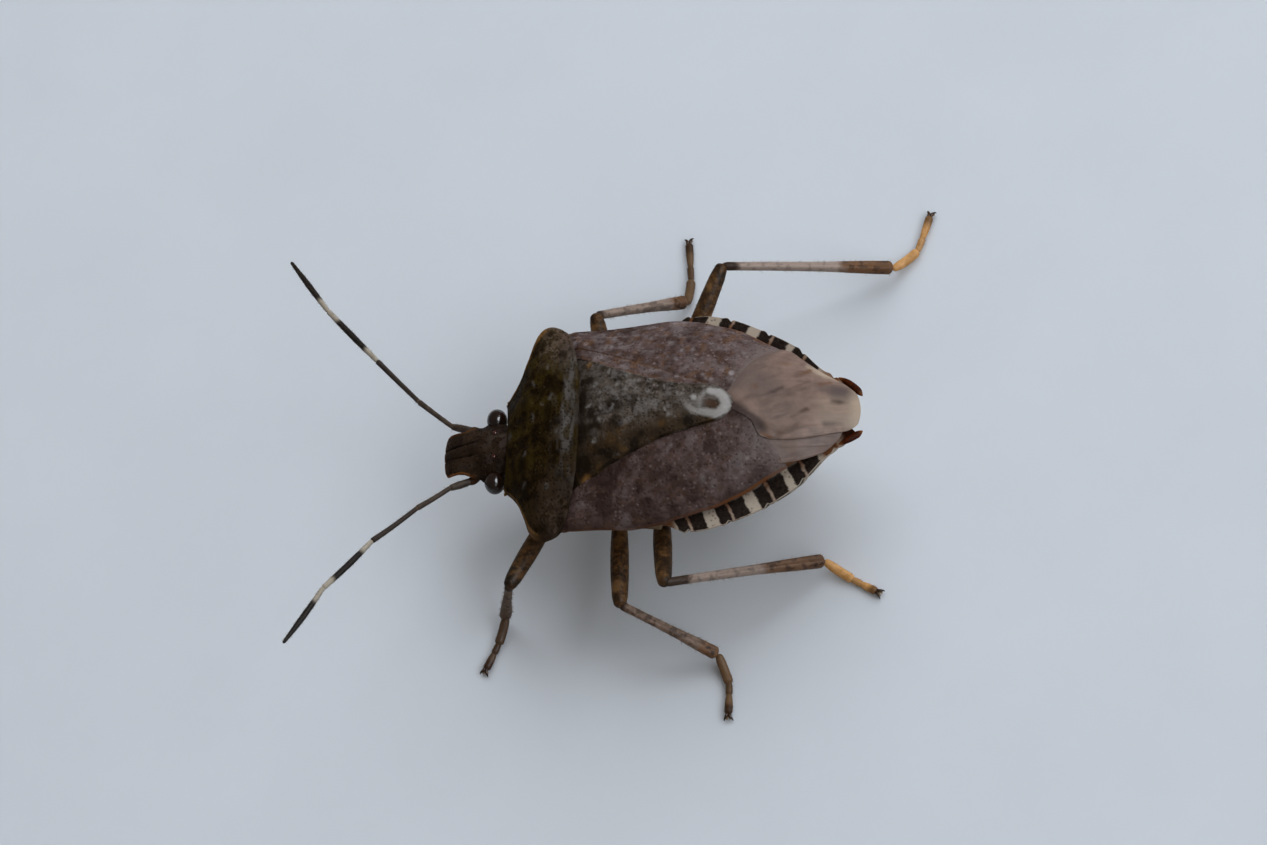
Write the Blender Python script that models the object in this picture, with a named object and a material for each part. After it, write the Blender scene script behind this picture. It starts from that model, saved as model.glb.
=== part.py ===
"""Adult marmorated shield bug, life size and standing, as one solid for each named part of its body.

Lengths are in millimetres and each finished mesh is brought to metres. The head points to -Y, the
bug's left side is +X, and the floor is z = 0. While the solids are made, y is measured from the front
of the head, and root then moves the middle of the whole model over the origin.
"""

import math

import bmesh
import bpy
from mathutils import Vector

MM = 0.001
GAP = 0.3
SIDES = 8

# Heights of the back along the midline, and of the body's edge, at distances y from the head's front.
BACK_HEIGHT = [(2.2, 3.80), (2.6, 4.10), (3.2, 4.48), (4.0, 4.78), (5.1, 5.00), (6.5, 5.12),
               (8.5, 5.08), (10.4, 4.85), (11.5, 4.50), (12.8, 4.02), (14.5, 3.38)]
EDGE_HEIGHT = [(2.2, 3.44), (3.9, 4.29), (5.0, 4.20), (6.0, 4.08), (8.7, 3.83), (10.0, 3.77),
               (11.3, 3.56), (12.5, 3.50), (14.4, 3.14)]
BELLY_HEIGHT = [(2.3, 1.95), (3.5, 1.62), (5.0, 1.50), (7.2, 1.35), (8.5, 1.12), (10.0, 1.05),
                (11.5, 1.15), (12.5, 1.35), (13.5, 1.65), (14.45, 2.05)]
BACK_ROUNDNESS = 2.4

# Half widths: the whole body's outline, and the folded wings' outline inside it.
BODY_WIDTH = [(2.2, 1.64), (2.7, 2.25), (3.1, 3.10), (3.5, 3.82), (3.9, 4.00), (4.6, 3.72),
              (5.6, 3.74), (7.0, 3.86), (8.2, 3.98), (9.0, 4.00), (10.0, 3.80), (11.3, 3.22),
              (12.3, 2.58), (13.2, 1.66), (13.9, 1.24), (14.45, 0.72)]
WING_WIDTH = [(4.8, 3.62), (5.6, 3.70), (7.0, 3.80), (7.8, 3.82), (8.6, 3.68), (9.4, 3.42),
              (10.5, 3.00), (11.4, 2.42), (12.0, 2.08), (12.8, 1.64), (13.4, 1.18), (14.0, 0.72),
              (14.4, 0.34)]
WING_SHIFT = [(8.5, 0.0), (10.5, 0.24), (12.6, 0.22), (13.6, 0.08), (14.5, 0.0)]

# The pronotum's side margin (x, y) from its front tooth round the shoulder to its hind corner.
PRONOTUM_MARGIN = [(1.64, 2.20), (2.00, 2.50), (2.42, 2.80), (3.02, 3.07), (3.52, 3.26),
                   (3.88, 3.54), (4.01, 3.88), (3.90, 4.22), (3.66, 4.48)]
PRONOTUM_FRONT = 2.38
PRONOTUM_BACK = 5.10
PRONOTUM_THICK = 0.60
SHOULDER_REACH = 2.5
TOOTH_DROP = 0.24
TOOTH_RADII = [0.17, 0.14, 0.06]

SCUTELLUM_WIDTH = [(5.4, 2.35), (6.4, 1.78), (7.4, 1.32), (8.3, 0.97), (9.2, 0.76), (9.8, 0.66),
                   (10.2, 0.47), (10.42, 0.20)]
SCUTELLUM_RISE = 0.12

WING_THICK = 0.50
WING_INSET = 0.12
MEMBRANE_STEP = 0.12
VEIN_HEIGHT = 0.09
VEIN_COUNT = 7

# Edge of the leathery wing part against the membrane, and the membrane's own tail edge, as (x, y).
SUTURE_INNER = (0.55, 10.66)
SUTURE_OUTER_Y = 12.0

THORAX_FRONT = 2.40
THORAX_BACK = 7.35
ABDOMEN_BACK = 14.45
CORE_DROP = 0.93
RIND = 0.35
CORE_INSET = 0.70
SEGMENT_ENDS = (8.71, 10.05, 11.31, 12.47, 13.50)
SEGMENT_NOTCH = 0.09
SEGMENT_CREASE = 0.06
TAIL_NOTCH = 0.34

HEAD_WIDTH = [(-0.08, 0.58), (0.02, 0.74), (0.15, 0.79), (0.60, 0.79), (0.85, 0.88), (1.02, 0.96),
              (1.18, 0.93), (1.34, 0.74), (2.05, 0.73)]
HEAD_TOP = [(-0.08, 3.12), (0.25, 3.34), (0.9, 3.55), (1.5, 3.72), (2.05, 3.80)]
HEAD_BOTTOM = [(-0.08, 2.90), (0.2, 2.60), (0.7, 2.32), (1.4, 2.15), (2.05, 2.05)]
HEAD_BACK = 2.05
GROOVE_DEPTH = 0.07
EYE_CENTRE = (1.16, 1.76, 3.17)
EYE_RADII = (0.40, 0.34, 0.38)
EYE_INNER_FACE = 1.05
OCELLUS_PLACE = (0.42, 1.78)
OCELLUS_RADIUS = 0.11
ANTENNA_BASE = (1.06, 0.82, 2.90)

# Joints of each antenna from its first to its tip, as (x, y, z).
ANTENNA_JOINTS = {
    "right": [(-1.35, 0.00, 2.76), (-2.30, -1.15, 3.02), (-3.79, -2.57, 3.53), (-5.65, -4.27, 4.10),
              (-7.63, -5.66, 4.33)],
    "left": [(1.24, 0.21, 3.29), (2.21, -0.69, 3.98), (3.70, -1.91, 4.87), (5.70, -3.19, 5.81),
             (7.83, -4.24, 6.41)],
}
ANTENNA_RADIUS = 0.25
ANTENNA_TIP_RADIUS = 0.12

# Joints of each leg: where it leaves its coxa, knee, ankle and the end of the foot, as (x, y, z).
LEG_JOINTS = {
    "front_left": [(1.12, 3.82, 1.77), (4.97, 2.36, 3.05), (4.84, 1.44, 0.49), (6.62, 0.71, 0.15)],
    "middle_left": [(1.45, 5.67, 1.49), (5.68, 6.00, 2.27), (7.00, 8.91, 0.48), (9.01, 9.20, 0.15)],
    "hind_left": [(1.35, 7.10, 1.38), (5.66, 7.88, 3.62), (3.96, 12.55, 0.52), (5.08, 14.23, 0.15)],
    "front_right": [(-0.95, 3.72, 1.52), (-4.40, 3.85, 2.85), (-4.25, 4.70, 0.40), (-5.30, 3.10, 0.15)],
    "middle_right": [(-1.35, 5.60, 1.43), (-5.19, 4.93, 2.46), (-6.50, 7.57, 0.34), (-8.92, 7.56, 0.16)],
    "hind_right": [(-1.81, 7.21, 1.49), (-6.28, 9.52, 2.98), (-6.89, 14.93, 0.43), (-8.90, 16.17, 0.16)],
}
LEG_PARTS = {
    "femur": [0.24, 0.27, 0.31, 0.30, 0.26],
    "tibia": [0.25, 0.25, 0.25, 0.27, 0.28],
    "tarsus": [0.25, 0.26, 0.20, 0.23, 0.20, 0.23, 0.18],
}
END_RING = 0.05
COXA_RADII = [0.42, 0.40, 0.33]
COXA_LENGTH = 0.65
COXA_DEPTH = 0.50
CLAW_LENGTH = 0.42
CLAW_SPREAD = 0.62
CLAW_RADII = [0.10, 0.07, 0.03]

ROSTRUM_PATH = [(0.0, 0.50, 1.98), (0.0, 1.20, 1.45), (0.0, 3.00, 0.98), (0.0, 4.80, 0.84), (0.0, 6.40, 0.72)]
ROSTRUM_RADII = [0.28, 0.27, 0.25, 0.25, 0.12]
LABRUM_ROOT = (0.0, 0.16, 2.75)

# Colour, roughness of each sub-part's finish.
FINISHES = {
    "head": ((0.060, 0.042, 0.032), 0.55),
    "eye": ((0.030, 0.010, 0.008), 0.25),
    "antenna": ((0.055, 0.045, 0.040), 0.50),
    "antenna_pale": ((0.300, 0.240, 0.170), 0.50),
    "pronotum": ((0.080, 0.062, 0.048), 0.55),
    "scutellum": ((0.095, 0.080, 0.068), 0.55),
    "corium": ((0.095, 0.065, 0.058), 0.55),
    "membrane": ((0.240, 0.175, 0.125), 0.35),
    "abdomen": ((0.300, 0.240, 0.160), 0.50),
    "thorax": ((0.260, 0.200, 0.130), 0.55),
    "rostrum": ((0.160, 0.110, 0.060), 0.50),
    "femur": ((0.080, 0.050, 0.030), 0.50),
    "tibia": ((0.150, 0.100, 0.065), 0.50),
    "tarsus": ((0.200, 0.120, 0.060), 0.50),
}


def remove_scene_objects():
    for item in list(bpy.data.objects):
        bpy.data.objects.remove(item, do_unlink=True)


def mix(a, b, t):
    return a + (b - a) * t


def smooth_step(low, high, value):
    t = min(max((value - low) / (high - low), 0.0), 1.0)
    return t * t * (3.0 - 2.0 * t)


def secant(stations, i):
    (t0, v0), (t1, v1) = stations[i], stations[i + 1]
    return (v1 - v0) / (t1 - t0)


def slope_at(stations, i):
    """Slope of the curve at a station, which never swings past its neighbours."""
    if i == 0:
        return secant(stations, 0)
    if i == len(stations) - 1:
        return secant(stations, i - 1)
    before, after = secant(stations, i - 1), secant(stations, i)
    if before * after <= 0.0:
        return 0.0
    return 2.0 * before * after / (before + after)


def profile(stations, t):
    """Value at t of the smooth curve through the (t, value) stations."""
    t = min(max(t, stations[0][0]), stations[-1][0])
    i = max(k for k in range(len(stations) - 1) if stations[k][0] <= t)
    (t0, v0), (t1, v1) = stations[i], stations[i + 1]
    span = t1 - t0
    s = (t - t0) / span
    rise = v1 - v0
    start, end = slope_at(stations, i) * span, slope_at(stations, i + 1) * span
    return v0 + s * start + s * s * (3 * rise - 2 * start - end) + s ** 3 * (start + end - 2 * rise)


def curve_point(points, s):
    """Point at the share s of the smooth curve through the points (x, y)."""
    lengths = [0.0]
    for a, b in zip(points, points[1:]):
        lengths.append(lengths[-1] + math.dist(a, b))
    at = s * lengths[-1]
    return tuple(profile([(t, p[k]) for t, p in zip(lengths, points)], at) for k in range(2))


def back_surface(x, y):
    """Height of the body's back at a place seen from above."""
    middle, edge = profile(BACK_HEIGHT, y), profile(EDGE_HEIGHT, y)
    share = min(abs(x) / profile(BODY_WIDTH, y), 1.0)
    return mix(middle, edge, share ** BACK_ROUNDNESS)


def belly_surface(x, y):
    """Height of the underside: a keel with straight flanks at the thorax and a round belly behind it."""
    share = min(abs(x) / profile(BODY_WIDTH, y), 1.0)
    roundness = mix(0.95, 2.3, smooth_step(7.4, 9.6, y))
    flank = profile(EDGE_HEIGHT, y) - mix(0.62, 0.42, smooth_step(8.0, 9.5, y))
    return mix(profile(BELLY_HEIGHT, y), flank, share ** roundness)


def core_top(x, y):
    """Height of the body under its plates."""
    return back_surface(x, y) - CORE_DROP


def core_bottom(x, y):
    """Height of the underside, kept a rind's thickness below the plates."""
    return min(belly_surface(x, y), core_top(x, y) - RIND)


def wing_bottom(x, y):
    return back_surface(x, y) - WING_THICK


def wing_edge(side, y):
    """Distance of the folded wings' outer edge from the midline, on the side +1 (left) or -1 (right)."""
    return profile(WING_WIDTH, y) - side * profile(WING_SHIFT, y) - WING_INSET


def slab(top, bottom):
    """Closed mesh between two grids of points, split into triangles alike on both faces."""
    body = bmesh.new()
    upper = [[body.verts.new(p) for p in row] for row in top]
    lower = [[body.verts.new(p) for p in row] for row in bottom]
    rows, columns = len(top), len(top[0])
    for i in range(rows - 1):
        for j in range(columns - 1):
            for sheet in (upper, lower):
                a, b, c, d = sheet[i][j], sheet[i][j + 1], sheet[i + 1][j + 1], sheet[i + 1][j]
                body.faces.new((a, b, c))
                body.faces.new((a, c, d))
    rim = [(0, j) for j in range(columns - 1)]
    rim += [(i, columns - 1) for i in range(rows - 1)]
    rim += [(rows - 1, j) for j in range(columns - 1, 0, -1)]
    rim += [(i, 0) for i in range(rows - 1, 0, -1)]
    for (i, j), (k, m) in zip(rim, rim[1:] + rim[:1]):
        body.faces.new((upper[i][j], upper[k][m], lower[k][m]))
        body.faces.new((upper[i][j], lower[k][m], lower[i][j]))
    return body


def tube(points, radii, first_normal=None, last_normal=None, sides=SIDES, floor=None):
    """Closed tube along the points, whose end faces lie on planes with the given normals."""
    body = bmesh.new()
    points = [Vector(p) for p in points]
    rings = []
    for i, (centre, radius) in enumerate(zip(points, radii)):
        ahead = points[min(i + 1, len(points) - 1)] - points[max(i - 1, 0)]
        ahead.normalize()
        across = ahead.cross(Vector((0.0, 0.0, 1.0))).normalized()
        up = across.cross(ahead)
        normal = first_normal if i == 0 else last_normal if i == len(points) - 1 else None
        ring = []
        for k in range(sides):
            angle = math.tau * (k + 0.5) / sides
            offset = radius * (math.cos(angle) * across + math.sin(angle) * up)
            if normal is not None:
                offset -= ahead * (offset.dot(normal) / ahead.dot(normal))
            place = centre + offset
            if floor is not None:
                place.z = max(place.z, floor)
            ring.append(body.verts.new(place))
        rings.append(ring)
    for a, b in zip(rings, rings[1:]):
        for k in range(sides):
            m = (k + 1) % sides
            body.faces.new((a[k], a[m], b[m], b[k]))
    body.faces.new(rings[0])
    body.faces.new(rings[-1])
    return body


def dome(centre, radii, segments=12, rings=8):
    """Closed ellipsoid."""
    body = bmesh.new()
    bmesh.ops.create_uvsphere(body, u_segments=segments, v_segments=rings, radius=1.0)
    for vertex in body.verts:
        vertex.co = Vector(centre) + Vector(c * r for c, r in zip(vertex.co, radii))
    return body


def finish_material(kind):
    colour, roughness = FINISHES[kind]
    material = bpy.data.materials.new(kind)
    material.use_nodes = True
    shader = material.node_tree.nodes["Principled BSDF"]
    shader.inputs["Base Color"].default_value = (*colour, 1.0)
    shader.inputs["Roughness"].default_value = roughness
    shader.inputs["Metallic"].default_value = 0.0
    return material


def as_object(name, body, kind):
    """New object from a mesh in progress, with its faces turned outwards."""
    bmesh.ops.recalc_face_normals(body, faces=body.faces)
    mesh = bpy.data.meshes.new(name)
    body.to_mesh(mesh)
    body.free()
    item = bpy.data.objects.new(name, mesh)
    item.data.materials.append(finish_material(kind))
    bpy.context.scene.collection.objects.link(item)
    return item


def keep_largest_surface(mesh):
    """Drop whatever a union left beside the node's one closed surface."""
    body = bmesh.new()
    body.from_mesh(mesh)
    left = set(body.verts)
    shells = []
    while left:
        shell, front = set(), [left.pop()]
        while front:
            vertex = front.pop()
            shell.add(vertex)
            near = {e.other_vert(vertex) for e in vertex.link_edges} & left
            left -= near
            front.extend(near)
        shells.append(shell)
    largest = max(shells, key=len)
    bmesh.ops.delete(body, geom=[v for v in body.verts if v not in largest], context="VERTS")
    body.to_mesh(mesh)
    body.free()


def fuse(item, pieces, kind):
    """Join closed pieces into the object by one union."""
    group = bpy.data.collections.new(item.name + "_pieces")
    for number, piece in enumerate(pieces):
        part = as_object(f"{item.name}_piece_{number}", piece, kind)
        bpy.context.scene.collection.objects.unlink(part)
        group.objects.link(part)
    union = item.modifiers.new("union", "BOOLEAN")
    union.operation = "UNION"
    union.solver = "EXACT"
    union.operand_type = "COLLECTION"
    union.collection = group
    graph = bpy.context.evaluated_depsgraph_get()
    joined = bpy.data.meshes.new_from_object(item.evaluated_get(graph))
    item.modifiers.remove(union)
    item.data = joined
    for part in list(group.objects):
        bpy.data.objects.remove(part, do_unlink=True)
    bpy.data.collections.remove(group)
    keep_largest_surface(item.data)


def row_slab(name, kind, rows, top, bottom):
    """Node between two height functions over rows of places (x, y)."""
    upper = [[(x, y, top(x, y)) for x, y in row] for row in rows]
    lower = [[(x, y, bottom(x, y)) for x, y in row] for row in rows]
    return as_object(name, slab(upper, lower), kind)


def spread(count):
    return [i / (count - 1) for i in range(count)]


def both_sides(shares):
    """Shares from -1 to 1, mirrored from those between 0 and 1."""
    return [-s for s in reversed(shares[1:])] + shares


def head_top(x, y):
    share = min(abs(x) / profile(HEAD_WIDTH, y), 1.0)
    middle = profile(HEAD_TOP, y)
    drop = mix(0.10, 0.34, smooth_step(0.4, 1.6, y)) * share ** 2.2
    groove = GROOVE_DEPTH * math.exp(-((share - 0.29) / 0.05) ** 2) * (1.0 - smooth_step(0.9, 1.3, y))
    return middle - drop - groove


def head_bottom(x, y):
    share = min(abs(x) / profile(HEAD_WIDTH, y), 1.0)
    edge = profile(HEAD_TOP, y) - mix(0.42, 0.95, smooth_step(0.3, 1.6, y))
    return mix(min(profile(HEAD_BOTTOM, y), edge), edge, share ** 2.6)


def make_head():
    """Head capsule with its two cheek plates, the nose plate between them and the antenna sockets."""
    shares = both_sides([0.0, 0.12, 0.22, 0.29, 0.36, 0.58, 0.82, 1.0])
    stations = [-0.08, 0.0, 0.15, 0.45, 0.75, 1.0, 1.18, 1.34, 1.75, HEAD_BACK]
    rows = [[(s * profile(HEAD_WIDTH, y), y) for s in shares] for y in stations]
    head = row_slab("head", "head", rows, head_top, head_bottom)
    pieces = [labrum()]
    for side in (-1, 1):
        x, y = side * OCELLUS_PLACE[0], OCELLUS_PLACE[1]
        pieces.append(dome((x, y, head_top(x, y)), [OCELLUS_RADIUS] * 3, 8, 6))
        pieces.append(antenna_socket(side))
    fuse(head, pieces, "head")


def labrum():
    """Short boss under the head's front that the beak hangs from."""
    root, end = Vector(LABRUM_ROOT), Vector(ROSTRUM_PATH[0])
    way = (end - root).normalized()
    return tube([root, end - way * GAP], [0.30, 0.28], last_normal=way)


def antenna_start(side):
    return Vector((side * ANTENNA_BASE[0], ANTENNA_BASE[1], ANTENNA_BASE[2]))


def antenna_joints(side):
    name = "left" if side > 0 else "right"
    return [antenna_start(side)] + [Vector(p) for p in ANTENNA_JOINTS[name]]


def antenna_socket(side):
    """Stub on the head's side that carries the antenna."""
    base, first = antenna_joints(side)[:2]
    way = (first - base).normalized()
    root = base - Vector((side * 0.34, -0.20, 0.0))
    return tube([root, base], [0.26, 0.25], last_normal=way)


def make_eye(side):
    """Bulging eye with a flat inner face against the head's side."""
    eye = dome((side * EYE_CENTRE[0], EYE_CENTRE[1], EYE_CENTRE[2]), EYE_RADII, 14, 10)
    face = Vector((side * EYE_INNER_FACE, 0.0, 0.0))
    cut = bmesh.ops.bisect_plane(eye, geom=eye.verts[:] + eye.edges[:] + eye.faces[:], plane_co=face,
                                 plane_no=(side, 0.0, 0.0), clear_inner=True)
    rim = [g for g in cut["geom_cut"] if isinstance(g, bmesh.types.BMEdge)]
    bmesh.ops.edgeloop_fill(eye, edges=rim)
    as_object("eye_left" if side > 0 else "eye_right", eye, "eye")


def make_rostrum():
    """Beak of four lengths, folded back under the thorax."""
    points = [Vector(p) for p in ROSTRUM_PATH]
    way = (points[0] - Vector(LABRUM_ROOT)).normalized()
    as_object("rostrum", tube(points, ROSTRUM_RADII, first_normal=way), "rostrum")


def mitre(before, at, after):
    """Normal of the plane that halves the bend at a joint."""
    return ((at - before).normalized() + (after - at).normalized()).normalized()


def length_of_limb(points, i):
    """Ends of the limb's length i and the normals of its end faces, half a gap clear of each joint."""
    start, end = points[i], points[i + 1]
    way = (end - start).normalized()
    first = mitre(points[i - 1], start, end) if i > 0 else way
    last = mitre(start, end, points[i + 2]) if i + 2 < len(points) else way
    from_joint = way * (GAP / 2 / way.dot(first))
    to_joint = way * (GAP / 2 / way.dot(last)) if i + 2 < len(points) else Vector()
    return start + from_joint, end - to_joint, first, last


def limb(points, i, radii, floor=None, settles=False):
    """Tube for the limb's length i, its rings kept clear of the slanted end faces.

    A length that settles comes down early and then lies along the floor.
    """
    start, end, first, last = length_of_limb(points, i)
    way = (end - start).normalized()
    leans = [math.tan(math.acos(min(way.dot(normal), 1.0))) for normal in (first, last)]
    low = start + way * (radii[0] * leans[0] + END_RING)
    high = end - way * (radii[-1] * leans[1] + END_RING)
    inner = [low.lerp(high, s) for s in spread(len(radii) - 2)]
    if settles:
        for place in inner:
            share = (place - start).length / (end - start).length
            place.z = end.z + (start.z - end.z) * (1.0 - share) ** 2
    return tube([start, *inner, end], radii, first, last, floor=floor)


def make_antenna(side):
    """Antenna of five lengths."""
    name = "left" if side > 0 else "right"
    joints = antenna_joints(side)
    joints[0] = joints[0] + (joints[1] - joints[0]).normalized() * (GAP / 2)
    for i in range(5):
        swell = ANTENNA_RADIUS * (1.0 if i < 3 else 1.06)
        radii = [ANTENNA_RADIUS, swell, swell, ANTENNA_TIP_RADIUS if i == 4 else ANTENNA_RADIUS]
        kind = "antenna_pale" if i in (0, 1) else "antenna"
        as_object(f"antenna_{name}_{i + 1}", limb(joints, i, radii), kind)


def pronotum_top(x, y):
    """Back of the pronotum, with the two low callosities behind its front edge."""
    callosity = 0.10 * math.exp(-((abs(x) - 0.95) / 0.5) ** 2 - ((y - 3.15) / 0.28) ** 2)
    share = min(abs(x) / profile(BODY_WIDTH, max(y, 2.2)), 1.0)
    rounding = 0.12 * smooth_step(0.93, 1.0, share)
    return back_surface(x, y) + callosity - rounding


def pronotum_rows(steps):
    """Rows across the pronotum, from its front edge to its hind edge."""
    shares = both_sides([0.0, 0.16, 0.32, 0.48, 0.64, 0.79, 0.91, 1.0])
    rows = []
    for s in spread(steps):
        width, edge_y = curve_point(PRONOTUM_MARGIN, s)
        middle_y = mix(PRONOTUM_FRONT, PRONOTUM_BACK, s)
        rows.append([(u * width, mix(middle_y, edge_y, abs(u) ** SHOULDER_REACH)) for u in shares])
    return rows


def make_pronotum():
    """Shield behind the head, with a small tooth at each front corner and blunt shoulders."""

    def underside(x, y):
        return back_surface(x, y) - PRONOTUM_THICK

    pronotum = row_slab("pronotum", "pronotum", pronotum_rows(13), pronotum_top, underside)
    pieces = []
    for side in (-1, 1):
        x, y = PRONOTUM_MARGIN[0]
        z = back_surface(x, y) - TOOTH_DROP
        root = Vector((side * (x - 0.25), y + 0.22, z))
        tip = Vector((side * (x + 0.12), y, z))
        pieces.append(tube([root, root.lerp(tip, 0.6), tip], TOOTH_RADII, sides=6))
    fuse(pronotum, pieces, "pronotum")


def make_scutellum():
    """Long triangular shield between the wings, with a rounded tip."""
    shares = both_sides([0.0, 0.3, 0.6, 0.86, 1.0])
    stations = [mix(5.4, 10.0, s) for s in spread(11)] + [10.25, 10.42]
    rows = [[(u * profile(SCUTELLUM_WIDTH, y), y) for u in shares] for y in stations]

    def top(x, y):
        share = abs(x) / profile(SCUTELLUM_WIDTH, y)
        tip_drop = 0.12 * smooth_step(10.1, 10.42, y)
        return back_surface(x, y) + SCUTELLUM_RISE * (1.0 - 0.8 * share ** 3) - tip_drop

    row_slab("scutellum", "scutellum", rows, top, wing_bottom)


def corium_row(side, s, count):
    """Places across the leathery wing, from the scutellum's edge to the wing's outer edge."""
    inner_y = mix(5.22, SUTURE_INNER[1], s)
    outer_y = mix(4.84, SUTURE_OUTER_Y, s)
    beside_tip = max(profile(SCUTELLUM_WIDTH, inner_y) + GAP, SUTURE_INNER[0])
    inner = beside_tip if inner_y < 10.42 else SUTURE_INNER[0]
    outer = wing_edge(side, outer_y)
    return [(side * mix(inner, outer, t), mix(inner_y, outer_y, t)) for t in spread(count)]


def make_corium(side):
    """Leathery front part of a folded wing, with its main vein as a low ridge."""
    columns = 10
    rows = [corium_row(side, s, columns) for s in spread(13)]
    if side > 0:
        rows = [row[::-1] for row in rows]
    vein = {}
    for row in rows:
        inward = row[::-1] if side > 0 else row
        x, y = inward[6]
        vein[(x, y)] = VEIN_HEIGHT
        x, y = inward[columns - 1]
        vein[(x, y)] = -VEIN_HEIGHT

    def top(x, y):
        return back_surface(x, y) + vein.get((x, y), 0.0)

    name = "corium_left" if side > 0 else "corium_right"
    row_slab(name, "corium", rows, top, wing_bottom)


def membrane_node(name, front, tail, vein_count, step, rows_count=9):
    """Thin wing part between a front curve and a tail curve, with ridges for its veins."""
    shares = [0.0]
    ridge = [False]
    for k in range(vein_count):
        centre = (k + 0.6) / (vein_count + 0.2)
        half = 0.16 / (vein_count + 0.2)
        shares += [centre - half, centre, centre + half]
        ridge += [False, True, False]
    shares.append(1.0)
    ridge.append(False)
    top, bottom = [], []
    for s in spread(rows_count):
        upper, lower = [], []
        for u, raised in zip(shares, ridge):
            (x0, y0), (x1, y1) = curve_point(front, u), curve_point(tail, u)
            x, y = mix(x0, x1, s), mix(y0, y1, s)
            level = back_surface(x, y) - step
            upper.append((x, y, level + (VEIN_HEIGHT if raised else 0.0)))
            lower.append((x, y, level - WING_THICK))
        top.append(upper)
        bottom.append(lower)
    as_object(name, slab(top, bottom), "membrane")


def make_membranes():
    """Membranes of both wings: the right one lies on top and the left one shows as a strip beside it."""
    right_outer = -wing_edge(-1, 12.35)
    front = [(right_outer, 12.35), (-1.52, 11.80), (-0.66, 11.06), (0.0, 10.80), (0.60, 11.12),
             (0.86, 11.50), (0.90, 11.95)]
    tail = [(-wing_edge(-1, 12.75), 12.75), (-wing_edge(-1, 13.3), 13.3), (-wing_edge(-1, 13.95), 13.95),
            (-0.20, 14.30), (0.10, 14.30), (0.36, 14.05), (0.58, 13.50)]
    membrane_node("membrane_right", front, tail, VEIN_COUNT, 0.0)
    front = [(1.18, 11.66), (1.34, 11.80), (1.56, 12.14), (wing_edge(1, 12.42), 12.42)]
    tail = [(0.82, 13.62), (0.92, 13.56), (1.00, 13.46), (wing_edge(1, 13.3), 13.30)]
    membrane_node("membrane_left", front, tail, 2, MEMBRANE_STEP, 7)


def make_thorax():
    """Underside of the thorax below its plates, with the six coxae fused to it."""
    shares = both_sides([0.0, 0.10, 0.30, 0.52, 0.74, 0.90, 1.0])
    stations = [mix(THORAX_FRONT, THORAX_BACK, s) for s in spread(12)]
    rows = []
    for y in stations:
        width = profile(BODY_WIDTH, y) - mix(0.55, CORE_INSET, smooth_step(2.4, 3.4, y))
        rows.append([(u * width, y) for u in shares])
    thorax = row_slab("thorax", "thorax", rows, core_top, core_bottom)
    fuse(thorax, [coxa(joints) for joints in LEG_JOINTS.values()], "thorax")


def coxa(joints):
    """Stout cone that carries a leg, its face half a gap short of the leg's root."""
    root, knee = Vector(joints[0]), Vector(joints[1])
    way = (knee - root).normalized()
    end = root - way * (GAP / 2)
    inside = root - way * COXA_LENGTH + Vector((0.0, 0.0, COXA_DEPTH))
    return tube([inside, inside.lerp(end, 0.6), end], COXA_RADII, last_normal=way)


def rim_share(side, y):
    """How far the abdomen's rim stands up beside the wings, from the room that they leave it."""
    room = profile(BODY_WIDTH, y) - wing_edge(side, y) - GAP
    return smooth_step(0.06, 0.18, room) * smooth_step(8.3, 8.8, y)


def abdomen_row(y):
    """Places (x, y, share of the rim's height) across the abdomen from its left edge to its right one."""
    notch = SEGMENT_NOTCH if y in SEGMENT_ENDS else 0.0
    inset = CORE_INSET * (1.0 - smooth_step(7.9, 8.6, y))
    width = profile(BODY_WIDTH, y)
    row = []
    for side in (1, -1):
        edge = width - notch - inset
        foot = min(wing_edge(side, y) + GAP, edge - 0.15)
        rim = rim_share(side, y)
        half = [(edge, rim), (mix(edge, foot, 0.5), rim), (foot, rim), (foot - 0.05, 0.0)]
        half += [((foot - 0.05) * share, 0.0) for share in (0.85, 0.66, 0.44, 0.22)]
        half = [(side * x, rim) for x, rim in half]
        row += half + [(0.0, 0.0)] if side > 0 else half[::-1]
    tail = TAIL_NOTCH * smooth_step(13.6, ABDOMEN_BACK, y)
    return [(x, y - tail * (1.0 - abs(x / width) ** 1.6), rim) for x, rim in row]


def make_abdomen():
    """Abdomen under the wings, with its notched flat rim and the two lobes of its tail."""
    stations = [THORAX_BACK + GAP + 0.05, 8.2, 8.45]
    for end in SEGMENT_ENDS:
        stations += [end - 0.14, end, end + 0.14]
    stations += [9.4, 10.7, 11.9, 13.0, 13.9, 14.2, ABDOMEN_BACK]
    top, bottom = [], []
    for y in sorted(stations):
        upper, lower = [], []
        crease = SEGMENT_CREASE if y in SEGMENT_ENDS else 0.0
        for x, place_y, rim in abdomen_row(y):
            height = mix(core_top(x, place_y), profile(EDGE_HEIGHT, y), rim)
            upper.append((x, place_y, height))
            lower.append((x, place_y, min(belly_surface(x, place_y) + crease, height - RIND)))
        top.append(upper)
        bottom.append(lower)
    as_object("abdomen", slab(top, bottom), "abdomen")


def claws(joints):
    """Two small hooked claws at the end of a foot."""
    ankle, toe = Vector(joints[2]), Vector(joints[3])
    way = (toe - ankle).normalized()
    across = way.cross(Vector((0.0, 0.0, 1.0))).normalized()
    hooks = []
    for side in (-1, 1):
        out = (way + across * side * CLAW_SPREAD).normalized()
        root = toe - way * 0.14
        middle = root + out * CLAW_LENGTH * 0.6 + Vector((0.0, 0.0, 0.03))
        tip = root + out * CLAW_LENGTH
        tip.z = 0.05
        hooks.append(tube([root, middle, tip], CLAW_RADII, sides=5, floor=0.0))
    return hooks


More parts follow.
